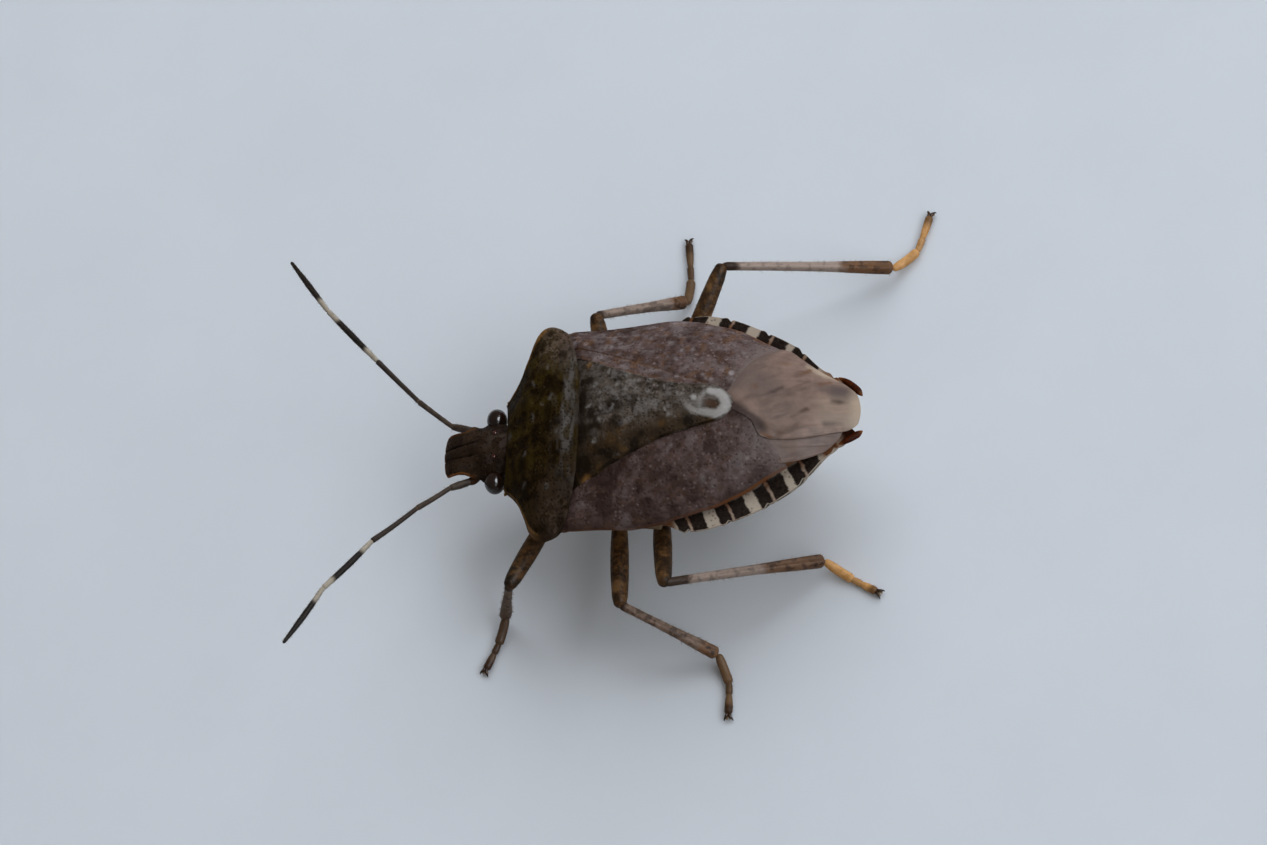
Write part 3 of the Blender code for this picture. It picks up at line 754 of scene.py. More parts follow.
SCUTELLUM_SKIN = Finish("scutellum_skin", "scutellum", (0.035, 0.0255, 0.0185), (0.096, 0.077, 0.065),
                        mottle=(0.24, 0.40, 0.60), specks=(0.150, 0.126, 0.112), speck=(0.14, 0.50, 0.36),
                        layers=(("brown", (0.036, 0.0215, 0.0095)), ("tawny", (0.070, 0.037, 0.013)),
                                ("dark", (0.010, 0.0058, 0.003)), ("spot", (0.20, 0.098, 0.030)),
                                ("pale", (0.33, 0.315, 0.305)), ("centre", (0.055, 0.028, 0.017)),
                                ("pit", (0.010, 0.006, 0.004))), specular=0.04, seed=3.0)
CORIUM_SKIN = Finish("forewing_leather", "forewing_leather", (0.060, 0.034, 0.027), (0.115, 0.078, 0.074),
                     mottle=(0.30, 0.40, 0.62), specks=(0.180, 0.132, 0.126), speck=(0.13, 0.50, 0.52),
                     layers=(("brown", (0.036, 0.016, 0.008)), ("tawny", (0.130, 0.062, 0.028)),
                             ("dark", (0.024, 0.011, 0.008)), ("rim", (0.15, 0.052, 0.014)),
                             ("pale", (0.30, 0.265, 0.275)), ("fade", (0.150, 0.112, 0.102)),
                             ("pit", (0.020, 0.010, 0.008))), seed=4.0)
MEMBRANE_SKIN = Finish("forewing_membrane", "forewing_membrane", (0.244, 0.164, 0.133), (0.172, 0.117, 0.096),
                       mottle=(0.45, 0.40, 0.62), layers=(
                           ("streak", (0.110, 0.070, 0.056)), ("brown", (0.072, 0.036, 0.020)),
                           ("grey", (0.100, 0.074, 0.068)), ("pale", (0.41, 0.325, 0.245)),
                           ("dark", (0.022, 0.013, 0.012)), ("red", (0.130, 0.058, 0.028))),
                       roughness=(0.36, 0.50), relief=(0.05, 0.2, 0.002), coat=0.02, specular=0.08, seed=5.0)
ABDOMEN_SKIN = Finish("abdomen_skin", "abdomen", (0.40, 0.32, 0.23), (0.30, 0.215, 0.14),
                      mottle=(0.5, 0.46, 0.66), specks=(0.10, 0.055, 0.030), speck=(0.15, 0.30, 0.35),
                      layers=(("rim", (0.39, 0.335, 0.28)), ("brown", (0.13, 0.045, 0.013)),
                              ("bar", (0.0075, 0.0035, 0.0026)), ("dark", (0.030, 0.006, 0.002)),
                              ("pit", (0.03, 0.018, 0.012))),
                      roughness=(0.45, 0.60), wear=0.04, specular=0.03, seed=6.0)
THORAX_SKIN = Finish("thorax_skin", "underside", (0.36, 0.27, 0.165), (0.25, 0.175, 0.10),
                     mottle=(0.6, 0.44, 0.64), specks=(0.07, 0.042, 0.025), speck=(0.14, 0.34, 0.5),
                     layers=(("groove", (0.060, 0.034, 0.020)), ("matt", (0.20, 0.165, 0.13)),
                             ("pit", (0.030, 0.018, 0.012))), seed=7.0)
FEMUR_SKIN = Finish("femur_skin", "femur", (0.048, 0.022, 0.008), (0.140, 0.066, 0.022),
                    mottle=(0.13, 0.42, 0.62), specks=(0.20, 0.115, 0.048), speck=(0.095, 0.46, 0.40),
                    layers=(("tan", (0.22, 0.115, 0.045)), ("dusk", (0.014, 0.008, 0.004)),
                            ("dark", (0.010, 0.006, 0.004))), seed=8.0)
TIBIA_SKIN = Finish("tibia_skin", "tibia", (0.235, 0.158, 0.115), (0.140, 0.088, 0.060),
                    mottle=(0.20, 0.42, 0.60), specks=(0.024, 0.014, 0.010), speck=(0.10, 0.38, 0.30),
                    layers=(("pale", (0.35, 0.275, 0.235)), ("rust", (0.175, 0.073, 0.024)),
                            ("dusk", (0.030, 0.017, 0.011)), ("dark", (0.028, 0.014, 0.009))), seed=9.0)
TARSUS_SKIN = Finish("foot_skin", "foot", (0.70, 0.385, 0.155), (0.54, 0.27, 0.085),
                     mottle=(0.16, 0.40, 0.62), layers=(
                         ("dusk", (0.064, 0.050, 0.043)), ("dark", (0.040, 0.019, 0.010)),
                         ("black", BLACK)), roughness=(0.34, 0.50), seed=10.0)
ANTENNA_SKIN = Finish("antenna_skin", "antenna", (0.070, 0.050, 0.038), (0.036, 0.025, 0.019),
                      mottle=(0.16, 0.40, 0.62), specks=(0.014, 0.010, 0.009), speck=(0.07, 0.40, 0.40),
                      layers=(("dusk", (0.026, 0.018, 0.015)), ("black", (0.009, 0.007, 0.007)),
                              ("pale", (0.42, 0.37, 0.30)), ("joint", (0.16, 0.10, 0.06))), seed=11.0)
BEAK_SKIN = Finish("beak_skin", "beak", (0.30, 0.21, 0.105), (0.21, 0.135, 0.062),
                   mottle=(0.2, 0.42, 0.62), layers=(("groove", (0.05, 0.025, 0.012)), ("dark", BLACK)),
                   roughness=(0.28, 0.42), coat=0.1, seed=12.0)
BRISTLE = Finish("bristle_horn", "femur", (0.20, 0.135, 0.075), (0.10, 0.065, 0.035),
                 layers=(("dark", (0.03, 0.02, 0.014)),), roughness=(0.35, 0.5), seed=13.0)
OCELLUS = Finish("simple_eye_glass", "dark_shield", (0.075, 0.016, 0.007), (0.035, 0.008, 0.004),
                 mottle=(0.05, 0.4, 0.6), roughness=(0.10, 0.16), relief=(0.05, 0.0, 0.0005), coat=0.5, seed=14.0)
EYE_GLASS = Finish("eye_glass", "eye", (0.010, 0.0042, 0.0028), (0.021, 0.0075, 0.0042),
                   mottle=(0.22, 0.42, 0.62), layers=(("dark", BLACK),), roughness=(0.16, 0.24),
                   relief=(0.03, 0.0, 0.0008), coat=0.6, specular=0.15, seed=15.0)
CLAW_HORN = Finish("claw_horn", "foot", (0.050, 0.022, 0.009), (0.022, 0.010, 0.005),
                   layers=(("pad", (0.32, 0.22, 0.13)), ("black", BLACK)), roughness=(0.22, 0.34),
                   coat=0.2, seed=16.0)
TAIL_HORN = Finish("tail_lobe_horn", "abdomen", (0.062, 0.011, 0.0015), (0.024, 0.005, 0.001),
                   mottle=(0.15, 0.4, 0.6), layers=(("rim", (0.20, 0.068, 0.018)),), roughness=(0.40, 0.52),
                   specular=0.05, seed=17.0)


class Workshop:
    """Keeps the frame's shift and the finishes already made, and hands the pieces over."""

    def __init__(self) -> None:
        """Read the frame's shift from the scutellum's tip and midline."""
        low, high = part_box("scutellum")
        self.shift = Vector(((low.x + high.x) / 2 / MM, high.y / MM - SCUTELLUM_TIP, 0.0))
        self.effects = Effects()
        self.materials: dict[str, bpy.types.Material] = {}

    def dress(self, shape: Shape, name: str, finish: Finish, nodes: list[str], crease: float = 50.0,
              slot: str | None = None) -> bpy.types.Object:
        """Make a piece, give it its finish and hand it to the frame.

        Args:
            shape: Its mesh in progress.
            name: The piece's name.
            finish: Its finish.
            nodes: Solids that it stands for.
            crease: Degrees over which its edges stay sharp.
            slot: Material slot, where it isn't the finish's own.

        Returns:
            The piece.
        """
        item = shape.make(name, self.shift, crease)
        self.hand_over(item, finish, nodes, slot)
        return item

    def hand_over(self, item: bpy.types.Object, finish: Finish, nodes: list[str],
                  slot: str | None = None) -> None:
        """Give a finished object its material and body, and hide the solids that it stands for.

        Args:
            item: The object.
            finish: Its finish.
            nodes: Solids that it stands for.
            slot: Material slot, where it isn't the finish's own; not used.
        """
        if finish.name not in self.materials:
            self.materials[finish.name] = finish.material(self.effects)
        item.data.materials.clear()
        item.data.materials.append(self.materials[finish.name])
        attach(item, ROOT)
        slot or finish.slot
        if nodes:
            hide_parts(*nodes)
        log.info("%s: %d faces for %s", item.name, len(item.data.polygons), nodes or "no solid")


def stack(x: Array, y: Array, z: Array) -> Array:
    """Points from their coordinates."""
    return np.stack([x, y, z], axis=-1)


def mirrored_lattice(rows: int, columns: int) -> tuple[Array, Array, Array]:
    """Grid for a plate with the midline in its middle.

    Args:
        rows: Points from front to back.
        columns: Points from right to left.

    Returns:
        Shares down the rows, shares from -1 to 1 across the columns, and the size of the latter.
    """
    s, v = lattice(rows, columns)
    u = 2.0 * v - 1.0
    return s, u, np.abs(u)


def roughen(rings: Array, centres: Array, factor: Array) -> Array:
    """Rings of a tube with each point's distance from the centre line multiplied by its factor."""
    return centres[:, None] + (rings - centres[:, None]) * factor[..., None]


@dataclass
class Pronotum:
    """Shield behind the head, with its calli, pits, raised rim and front teeth."""

    margin: Path = Path(((1.60, 2.14), (1.76, 2.27), (2.00, 2.50), (2.42, 2.80), (3.02, 3.07), (3.52, 3.26),
                         (3.88, 3.54), (4.01, 3.88), (3.90, 4.22), (3.62, 4.55)))
    front: float = 2.36
    back: float = 5.20
    reach: float = 2.5
    rows: int = 120
    columns: int = 300
    thickness: float = 0.16
    callus_height: float = 0.09
    furrow_y: float = 3.55
    furrow_depth: float = 0.035
    rim_height: float = 0.045
    edge_drop: float = 0.16
    collar_drop: float = 0.05
    lip_height: float = 0.02
    lip_drop: float = 0.07
    pitting: Pitting = Pitting(0.125, 0.050, 0.030, 21)
    swell: Pattern = Pattern(0.7, 5)
    ripple: Pattern = Pattern(0.16, 9, 2)
    marble: Pattern = Pattern(0.9, 33)
    blotches: Pattern = Pattern(0.45, 37)
    speckle: Pattern = Pattern(0.12, 39, 2)
    streaks: Pattern = Pattern(0.35, 41)
    hem: Pattern = Pattern(0.4, 43, 2)

    CALLUS = ((0.98, 3.10), (0.62, 0.30), 68.0)
    SHADES = (((-2.20, 2.95), (0.34, 0.28), 0.8), ((-1.57, 4.09), (0.28, 0.22), 0.85),
              ((-0.47, 4.07), (0.42, 0.20), 0.85), ((-1.08, 3.12), (0.30, 0.20), 0.8),
              ((-0.43, 3.08), (0.25, 0.18), 0.7), ((1.29, 3.10), (0.36, 0.22), 0.8),
              ((1.77, 2.69), (0.30, 0.20), 0.7), ((-3.30, 3.50), (0.16, 0.28), 0.6),
              ((-3.62, 3.90), (0.18, 0.16), 0.7), ((3.66, 3.86), (0.28, 0.24), 0.85),
              ((3.45, 4.50), (0.30, 0.22), 0.6), ((0.55, 3.95), (0.35, 0.16), 0.55), ((2.75, 3.60), (0.30, 0.20), 0.45))
    DOTS = ((-2.27, 3.99), (-0.83, 3.85), (-1.03, 4.14), (0.96, 3.18), (2.25, 4.09), (1.93, 3.11), (0.09, 4.69),
            (0.30, 4.43), (-0.45, 3.42), (-1.75, 3.40))
    DOT_SIZE = (0.10, 0.085)
    FRONT_DOT = ((-0.07, 2.50), (0.16, 0.09))
    TOOTH = ((1.40, 2.42, 3.40), (1.78, 2.16, 3.33))

    def build(self, shop: Workshop) -> None:
        """Build and dress the shield.

        Args:
            shop: The workshop.
        """
        s, u, share = mirrored_lattice(self.rows, self.columns)
        edge = self.margin(s[:, 0])
        x = u * edge[:, :1]
        y = mix(mix(self.front, self.back, s), edge[:, 1:], share ** self.reach)
        calli = pair(x, y, *self.CALLUS)
        rim = ramp(0.945, 0.975, share + 0.022 * (x < 0)) * fall(0.70, 0.80, s)
        lip = ramp(0.90, 1.0, s)
        z = BODY.back_at(x, np.maximum(y, 2.2)) + self.callus_height * calli
        z = z - self.furrow_depth * bell(y, self.furrow_y, 0.14) * (1.0 - share ** 4) + self.rim_height * rim
        z = z - self.edge_drop * ramp(0.975, 1.0, share)
        z = z - self.collar_drop * fall(0.0, 0.05, s)
        places = stack(x, y, z)
        z = z + self.swell.sway(places, 0.05) + self.ripple.sway(places, 0.02)
        z = z + self.lip_height * lip - self.lip_drop * ramp(0.968, 1.0, s)
        room = (1.0 - 0.75 * held(calli)) * fall(0.95, 0.98, share)
        room = room * fall(0.955, 0.985, s) * ramp(0.02, 0.06, s)
        pit = self.pitting.at(places) * room
        z = z - self.pitting.depth * pit
        inner = held(share / 0.96) ** 10
        under = z - self.thickness * (1.0 - 0.6 * inner) * (1.0 - 0.7 * lip)
        shape = Shape()
        shape.add_plate(stack(x, y, z), stack(x, y, under), pit=pit * 0.7, **self.tones(places, z, s, rim))
        self.add_teeth(shape)
        shop.dress(shape, "pronotum_shield", PRONOTUM_SKIN, ["pronotum"])

    def tones(self, places: Array, z: Array, s: Array, rim: Array) -> dict[str, Array]:
        """Masks of the shield's colours.

        Args:
            places: Its points before the finest relief.
            z: Its final heights.
            s: Shares from the front to the back.
            rim: Mask of the raised rim.

        Returns:
            A mask for each named colour.
        """
        x, y = places[..., 0], places[..., 1]
        blotch, speckle = self.blotches.at(places), self.speckle.at(places)
        streak = self.streaks.at(stack(x * 0.8, y * 2.6, z))
        olive = 0.85 * ramp(0.42, 0.62, blotch) * (1.0 - 0.5 * ramp(0.6, 0.95, s))
        tan = (0.75 * ramp(0.40, 0.66, speckle) + 0.25) * ramp(-1.9, -3.0, x) * ramp(3.3, 4.0, y)
        tan = tan + 0.55 * ramp(0.46, 0.68, speckle) * ramp(2.0, 3.0, x) * ramp(3.5, 4.1, y)
        grey = 0.65 * ramp(0.42, 0.66, streak) * ramp(3.9, 4.7, y)
        grey = grey * (1.0 - 0.5 * ramp(1.0, 2.6, x))
        band = window(4.66, 4.96, 0.16, y + 0.16 * (blotch - 0.5)) * ramp(3.1, 2.2, np.abs(x + 0.25))
        band = band * (0.30 + 0.70 * ramp(0.36, 0.60, streak)) * (1.0 - 0.8 * ramp(0.4, 1.8, x))
        dark = 0.7 * ramp(0.58, 0.72, 1.0 - blotch) * (1.0 - 0.5 * band)
        for place, size, strength in self.SHADES:
            dark = np.maximum(dark, strength * spot(x + 0.2 * (blotch - 0.5), y, place, size))
        dark = dark + 0.30 * window(5.13, 5.3, 0.05, y) * self.hem.patches(places, 0.40, 0.60)
        dots = scatter(x + 0.35 * (speckle - 0.5), y + 0.3 * (blotch - 0.5), self.DOTS, self.DOT_SIZE)
        blush = 0.8 * ramp(-2.3, -3.0, x) * ramp(4.0, 4.6, y) * ramp(0.36, 0.60, speckle + 0.1)
        # Duller grey patches at the shield's left front, its own tone.
        dusk = 0.62 * ramp(1.0, 2.3, x) * ramp(2.9, 3.8, y) * ramp(0.25, 0.55, blotch)
        return {"olive": olive, "tan": tan, "grey": grey, "dark": dark, "blush": blush, "dusk": dusk,
                "pale": 0.62 * band + 0.42 * dots + 0.35 * spot(x, y, *self.FRONT_DOT),
                "rim": rim * (0.55 + 0.45 * self.marble.patches(places, 0.4, 0.6))}

    def add_teeth(self, shape: Shape) -> None:
        """Add the small tooth at each front corner.

        Args:
            shape: The shield in progress.
        """
        t = shares(10)
        radii = mix(0.14, 0.045, t) * rounded_ends(t, 0.45, 0.08, 0.05)
        for side in Side:
            root, tip = (side.mirror(point) for point in self.TOOTH)
            shape.add_tube(rings_round(root + (tip - root) * t[:, None], radii, 12, 0.8), rim=0.8)


@dataclass
class Scutellum:
    """Long triangular shield between the wings, with pale corners and a pale ring round its tip."""

    width: Curve = Curve(((4.9, 2.62), (5.4, 2.38), (6.4, 1.80), (7.4, 1.34), (8.3, 1.00), (9.2, 0.80),
                          (9.8, 0.68), (10.15, 0.51), (10.36, 0.30)))
    first: float = 4.95
    last: float = 10.36
    rows: int = 210
    columns: int = 150
    thickness: float = 0.14
    rise: float = 0.14
    hump: float = 0.05
    front_drop: float = 0.12
    tip_drop: float = 0.13
    keel_share: float = 0.93
    keel_height: float = 0.03
    edge_drop: float = 0.09
    pitting: Pitting = Pitting(0.13, 0.050, 0.026, 61)
    wrinkles: Pattern = Pattern(0.5, 51, 2)
    ripple: Pattern = Pattern(0.3, 55)
    marble: Pattern = Pattern(0.8, 65)
    blotches: Pattern = Pattern(0.45, 71, 2)
    fine: Pattern = Pattern(0.22, 73)
    tawny: Pattern = Pattern(0.3, 75)
    patchy: Pattern = Pattern(0.14, 81, 2)
    frayed: Pattern = Pattern(0.16, 83, 2)

    RING = ((-0.42, 9.56, 0.05, 0.55), (-0.46, 9.74, 0.13, 1.0), (-0.42, 9.98, 0.17, 1.0), (-0.25, 10.17, 0.16, 1.0),
            (-0.01, 10.24, 0.16, 1.0), (0.19, 10.18, 0.15, 1.0), (0.33, 10.05, 0.14, 0.95), (0.37, 9.87, 0.13, 0.92),
            (0.33, 9.66, 0.13, 0.85), (0.27, 9.42, 0.13, 0.72), (0.22, 9.21, 0.12, 0.60), (0.10, 9.04, 0.10, 0.46),
            (-0.06, 8.92, 0.08, 0.30), (-0.23, 8.83, 0.06, 0.12))
    RING_FRONT = ((-0.42, 9.58, 0.08, 0.6), (-0.20, 9.42, 0.09, 0.55), (0.04, 9.37, 0.09, 0.5), (0.24, 9.42, 0.08, 0.5))
    RING_DOT = ((-0.25, 9.20), (0.13, 0.11))
    RING_HAZE = ((-0.02, 9.25), (0.36, 0.30))
    RING_CENTRE = ((0.0, 9.78), (0.17, 0.28), 25.0)
    SHADES = (((-0.30, 6.55), (0.36, 0.30), 0.85), ((0.48, 6.54), (0.24, 0.22), 0.9), ((1.45, 6.35), (0.45, 0.35), 0.8),
              ((-0.55, 5.32), (0.55, 0.16), 0.9), ((0.62, 5.35), (0.45, 0.20), 0.8), ((1.77, 5.40), (0.45, 0.30), 0.9),
              ((0.95, 8.05), (0.20, 0.55), 0.6), ((1.05, 7.20), (0.40, 0.30), 0.5), ((0.55, 9.05), (0.18, 0.35), 0.6),
              ((-1.25, 6.45), (0.20, 0.18), 0.45), ((0.1, 7.55), (0.22, 0.16), 0.4))
    FLECKS = ((-0.28, 7.30), (-1.38, 6.86), (-0.84, 6.92), (-1.09, 7.64), (-0.16, 7.96), (-0.14, 6.42), (-0.35, 5.58),
              (0.29, 5.95), (0.30, 8.36), (-0.47, 8.64), (0.13, 8.21), (-0.75, 5.95), (-1.15, 5.80), (-0.62, 7.62),
              (-0.72, 8.15), (-1.55, 6.20), (-0.20, 6.05), (0.95, 5.85))
    FLECK_SIZE = (0.10, 0.075)
    CORNER_SPOTS = (((-2.05, 5.46), (0.14, 0.10)), ((2.22, 5.45), (0.20, 0.14), 30.0))

    def build(self, shop: Workshop) -> None:
        """Build and dress the shield.

        Args:
            shop: The workshop.
        """
        s, u, share = mirrored_lattice(self.rows, self.columns)
        y = mix(self.first, self.last, s)
        x = u * self.width(y) - 0.08 * ramp(8.7, 9.7, y)
        y = y + 0.09 * (1.0 - u ** 2) * ramp(9.9, self.last, y) - 0.05 * share ** 3 * (1.0 - s)
        z = BODY.back_at(x, y) + self.rise * (1.0 - 0.75 * share ** 4) - BODY.tuck(x, y)
        z = z - self.front_drop * fall(5.1, 6.2, y) - self.tip_drop * ramp(10.15, 10.45, y)
        z = z + self.keel_height * bell(share, self.keel_share, 0.05) * ramp(5.6, 6.3, y)
        z = z - self.edge_drop * ramp(0.96, 1.0, share)
        z = z + self.hump * bell(x, 0.0, 1.3) * bell(y, 6.2, 0.8)
        places = stack(x, y, z)
        wrinkle = self.wrinkles.sway(stack(x * 0.6, y * 2.4, z), 0.035)
        z = z + wrinkle * fall(6.5, 8.5, y) + self.ripple.sway(places, 0.03)
        ring = self.ring(x, y, share)
        pit = self.pitting.at(places) * fall(0.94, 0.98, share) * (1.0 - 0.8 * ring)
        z = z - self.pitting.depth * pit
        under = z - self.thickness * (1.0 - 0.7 * share ** 8)
        shape = Shape()
        shape.add_plate(stack(x, y, z), stack(x, y, under), pit=pit * 0.45 * (1.0 - 0.7 * ring),
                        **self.tones(places, u, ring))
        shop.dress(shape, "scutellum_shield", SCUTELLUM_SKIN, ["scutellum"])

    def tones(self, places: Array, u: Array, ring: Array) -> dict[str, Array]:
        """Masks of the shield's colours.

        Args:
            places: Its points before the finest relief.
            u: Shares from -1 at the right edge to 1 at the left edge.
            ring: Mask of the pale ring.

        Returns:
            A mask for each named colour.
        """
        x, y, share = places[..., 0], places[..., 1], np.abs(u)
        fine = self.fine.at(places)
        lean = ramp(-0.05, 0.70, u + self.marble.sway(places, 0.35))
        brown = 0.90 * lean * ramp(0.30, 0.55, fine + 0.15 * lean)
        tawny = 0.8 * self.tawny.patches(places, 0.55, 0.72)
        tawny = tawny * (lean + 0.25 * (u < 0) * ramp(0.7, 0.9, share))
        dark = sum(strength * spot(x + 0.25 * (fine - 0.5), y, place, size) for place, size, strength in self.SHADES)
        dark = dark + 0.7 * ramp(0.90, 0.98, share) * (1.0 - ring) * ramp(0.45, 0.60, fine) * (u > 0)
        dark = dark + 0.45 * fall(5.15, 6.60, y) + 0.6 * self.blotches.patches(places, 0.58, 0.72)
        dark = dark * (1.0 - 0.75 * ramp(8.3, 9.0, y) * ramp(0.5, 0.0, u))
        right, left = self.CORNER_SPOTS
        pale = held(ring)
        for place in self.FLECKS:
            fleck = spot(x + 0.3 * (fine - 0.5), y - 0.3 * (fine - 0.5), place, self.FLECK_SIZE)
            pale = np.maximum(pale, 0.34 * fleck)
        pale = np.maximum(pale, 0.20 * ramp(0.52, 0.72, 1.0 - fine) * ramp(5.4, 6.4, y) * (1.0 - lean))
        return {"brown": brown * (1.0 - ring), "tawny": tawny * (1.0 - ring), "dark": dark * (1.0 - ring),
                "pale": pale, "spot": 0.55 * spot(x, y, *right) + 0.8 * spot(x, y, *left),
                "centre": 0.85 * spot(x, y, *self.RING_CENTRE)}

    def ring(self, x: Array, y: Array, share: Array) -> Array:
        """Pale ring round the tip, open at the front towards the right.

        Args:
            x: Distances to the left.
            y: Distances from the head's front.
            share: Shares of the half width.

        Returns:
            Mask of the ring.
        """
        flat = stack(x, y, x * 0)
        sway = self.frayed.sway(flat, 0.07)
        fresh = stroke(x + sway, y + sway, self.RING, 0.075)
        fresh = np.maximum(fresh, 0.9 * spot(x, y, *self.RING_DOT))
        inner = np.maximum(stroke(x + sway, y + sway, self.RING_FRONT, 0.10), 0.25 * spot(x, y, *self.RING_HAZE))
        fresh = np.maximum(fresh, inner) * (0.86 + 0.25 * self.patchy.at(flat))
        return held(fresh) * (1.0 - 0.35 * ramp(0.95, 1.0, share))


@dataclass
class Forewing:
    """Leathery part of one folded wing, from the front edge to the suture where the membrane starts."""

    side: Side
    inner_end: tuple[float, float]
    suture: Path
    front_y: float = 4.42
    rows: int = 250
    columns: int = 125
    thickness: float = 0.12
    vein_width: float = 0.03
    main_height: float = 0.025
    second_height: float = 0.015
    furrow_depth: float = 0.03
    outer_drop: float = 0.08
    suture_drop: float = 0.03
    pitting: Pitting = Pitting(0.125, 0.045, 0.022, 95)
    ripple: Pattern = Pattern(0.35, 91)
    marble: Pattern = Pattern(0.75, 101)
    fine: Pattern = Pattern(0.17, 105, 2)
    tawny: Pattern = Pattern(0.26, 107)
    lilac: Pattern = Pattern(0.30, 109, 2)

    BRIGHT_DOT = ((-1.22, 10.37), (0.10, 0.09))
    FLECKS = ((-3.35, 4.52), (-3.19, 4.79), (-3.03, 5.19), (-2.68, 4.71), (-2.84, 6.45), (-3.13, 6.20),
              (-2.75, 6.16), (-2.40, 5.85), (-3.04, 7.50), (-2.22, 8.64), (-2.32, 9.02), (-1.20, 8.55),
              (-1.20, 9.43), (-0.96, 9.73), (-1.85, 8.48), (-2.51, 9.61))
    FLECK_SIZE = (0.09, 0.075)
    LEFT_FLECKS = (((1.34, 8.37), (0.12, 0.10)), ((2.48, 9.40), (0.16, 0.10)))

    def place(self, s: Array, t: Array) -> tuple[Array, Array]:
        """Places of the grid.

        Args:
            s: Shares from the front edge to the suture.
            t: Shares from the inner edge to the outer edge.

        Returns:
            Distances from the midline and from the head's front.
        """
        inner_y = mix(self.front_y + 0.1, self.inner_end[1], s)
        tucked = np.maximum(Scutellum().width(inner_y) - 0.14, 0.05)
        inner_x = np.maximum(tucked, self.inner_end[0] * ramp(9.5, self.inner_end[1], inner_y))
        end = self.suture(np.array([1.0]))[0]
        outer_y = mix(self.front_y, end[1], s)
        outer_x = BODY.wing_edge(self.side, outer_y)
        along = self.suture(t[0])
        straight_x = mix(self.inner_end[0], outer_x[-1, 0], t[-1])
        straight_y = mix(self.inner_end[1], end[1], t[-1])
        bend = s ** 5
        return (mix(inner_x, outer_x, t) + bend * (along[:, 0] - straight_x),
                mix(inner_y, outer_y, t) + bend * (along[:, 1] - straight_y))

    def build(self, shop: Workshop) -> None:
        """Build and dress the leathery part.

        Args:
            shop: The workshop.
        """
        s, t = lattice(self.rows, self.columns)
        x, y = self.place(s, t)
        sign = self.side.value
        z = BODY.back_at(x, y) - 0.03 - BODY.tuck(x, y)
        z = z - 0.10 * ramp(0.80, 1.0, t) * ramp(7.5, 9.0, y)
        claval = bell(t, 0.30 * (1.0 - s) + 0.05, 0.018) * fall(0.80, 0.95, s)
        main = bell(t, mix(0.74, 0.60, s), self.vein_width) * fall(0.72, 0.95, s)
        second = bell(t, mix(0.42, 0.40, s), self.vein_width) * ramp(0.15, 0.3, s)
        second = second * fall(0.7, 0.9, s)
        z = z - self.furrow_depth * claval + self.main_height * main + self.second_height * second
        z = z - self.outer_drop * ramp(0.975, 1.0, t) - self.suture_drop * ramp(0.985, 1.0, s)
        places = stack(sign * x, y, z)
        z = z + self.ripple.sway(places, 0.03, sign)
        pit = self.pitting.at(places, sign) * fall(0.965, 0.985, t)
        pit = pit * (1.0 - 0.4 * main) * fall(0.97, 0.99, s)
        z = z - self.pitting.depth * pit
        under = z - self.thickness * ramp(0.0, 0.1, np.minimum(t, 1.0 - t) * 2.0) - 0.01
        shape = Shape()
        shape.add_plate(stack(sign * x, y, z), stack(sign * x, y, under), pit=pit * 0.6,
                        **self.tones(places, s, t, claval))
        shop.dress(shape, f"forewing_leather_{self.side.word}", CORIUM_SKIN, [f"corium_{self.side.word}"])

    def tones(self, places: Array, s: Array, t: Array, claval: Array) -> dict[str, Array]:
        """Masks of the leather's colours. The left wing is darker and the right one paler, partly in their own tone and
        partly as painted shade and painted light of the sides turned from and to the lamp.

        Args:
            places: Its points before the finest relief.
            s: Shares from the front edge to the suture.
            t: Shares from the inner edge to the outer edge.
            claval: Mask of the furrow beside the scutellum.

        Returns:
            A mask for each named colour.
        """
        x, y, sign = places[..., 0], places[..., 1], self.side.value
        right = self.side is Side.RIGHT
        marble, fine = self.marble.at(places, sign), self.fine.at(places, sign)
        tawny = (0.40 - 0.18 * sign) * self.tawny.patches(places, 0.54, 0.70, sign)
        dark = 0.65 * ramp(0.54, 0.68, marble) + 0.15 * claval + 0.25 * fall(4.8, 7.6, y)
        # The left wing's dark is made stronger: partly its own tone, partly painted shade of the side turned from the
        # light.
        dark = dark * (0.60 if right else 0.82) + 0.38 * ramp(0.55, 0.75, fine)
        pale = self.pale_marks(x, y, marble)
        if right:
            tawny = tawny + 0.5 * claval + 0.35 * bell(t, 0.06, 0.03) * fall(0.6, 0.8, s)
            # Extra pale on the right wing: partly its own tone, partly painted light of the side turned to the lamp.
            pale = pale + 0.20 * ramp(0.60, 0.80, 1.0 - fine)
        else:
            # Painted shade darkens the whole left wing a little more, and a painted shadow line runs along its inner
            # suture where the right membrane's edge lies over it.
            dark = dark + 0.24 + 0.90 * ramp(0.930, 0.975, s) * fall(0.5, 0.8, t)
        fade = (0.9 if right else 0.55) * ramp(0.90, 1.0, s + 0.07 * (fine - 0.5)) * ramp(0.10, 0.40, t)
        return {"brown": 0.75 * ramp(0.80, 0.96, t) * fall(0.30, 0.5, s), "tawny": tawny,
                "dark": dark, "rim": 0.8 * window(0.986, 1.0, 0.012, t) * (0.35 + 0.65 * ramp(0.5, 0.8, s)),
                "pale": pale, "fade": fade}

    def pale_marks(self, x: Array, y: Array, marble: Array) -> Array:
        """Whitish flecks and lilac clouds that stand out on the leather.

        Args:
            x: Distances to the left.
            y: Distances from the head's front.
            marble: Noise that moves the flecks.

        Returns:
            Mask of the flecks.
        """
        marks = 1.2 * spot(x, y, *self.BRIGHT_DOT)
        marks = marks + 0.36 * scatter(x + 0.5 * (marble - 0.5), y, self.FLECKS, self.FLECK_SIZE)
        marks = marks + 0.22 * sum(spot(x, y, *fleck) for fleck in self.LEFT_FLECKS)
        lilac = self.lilac.patches(stack(x, y * 0.8, x * 0), 0.50, 0.85)
        return marks + 0.16 * fall(0.30, 0.42, marble) + 0.20 * lilac * (x < 0)


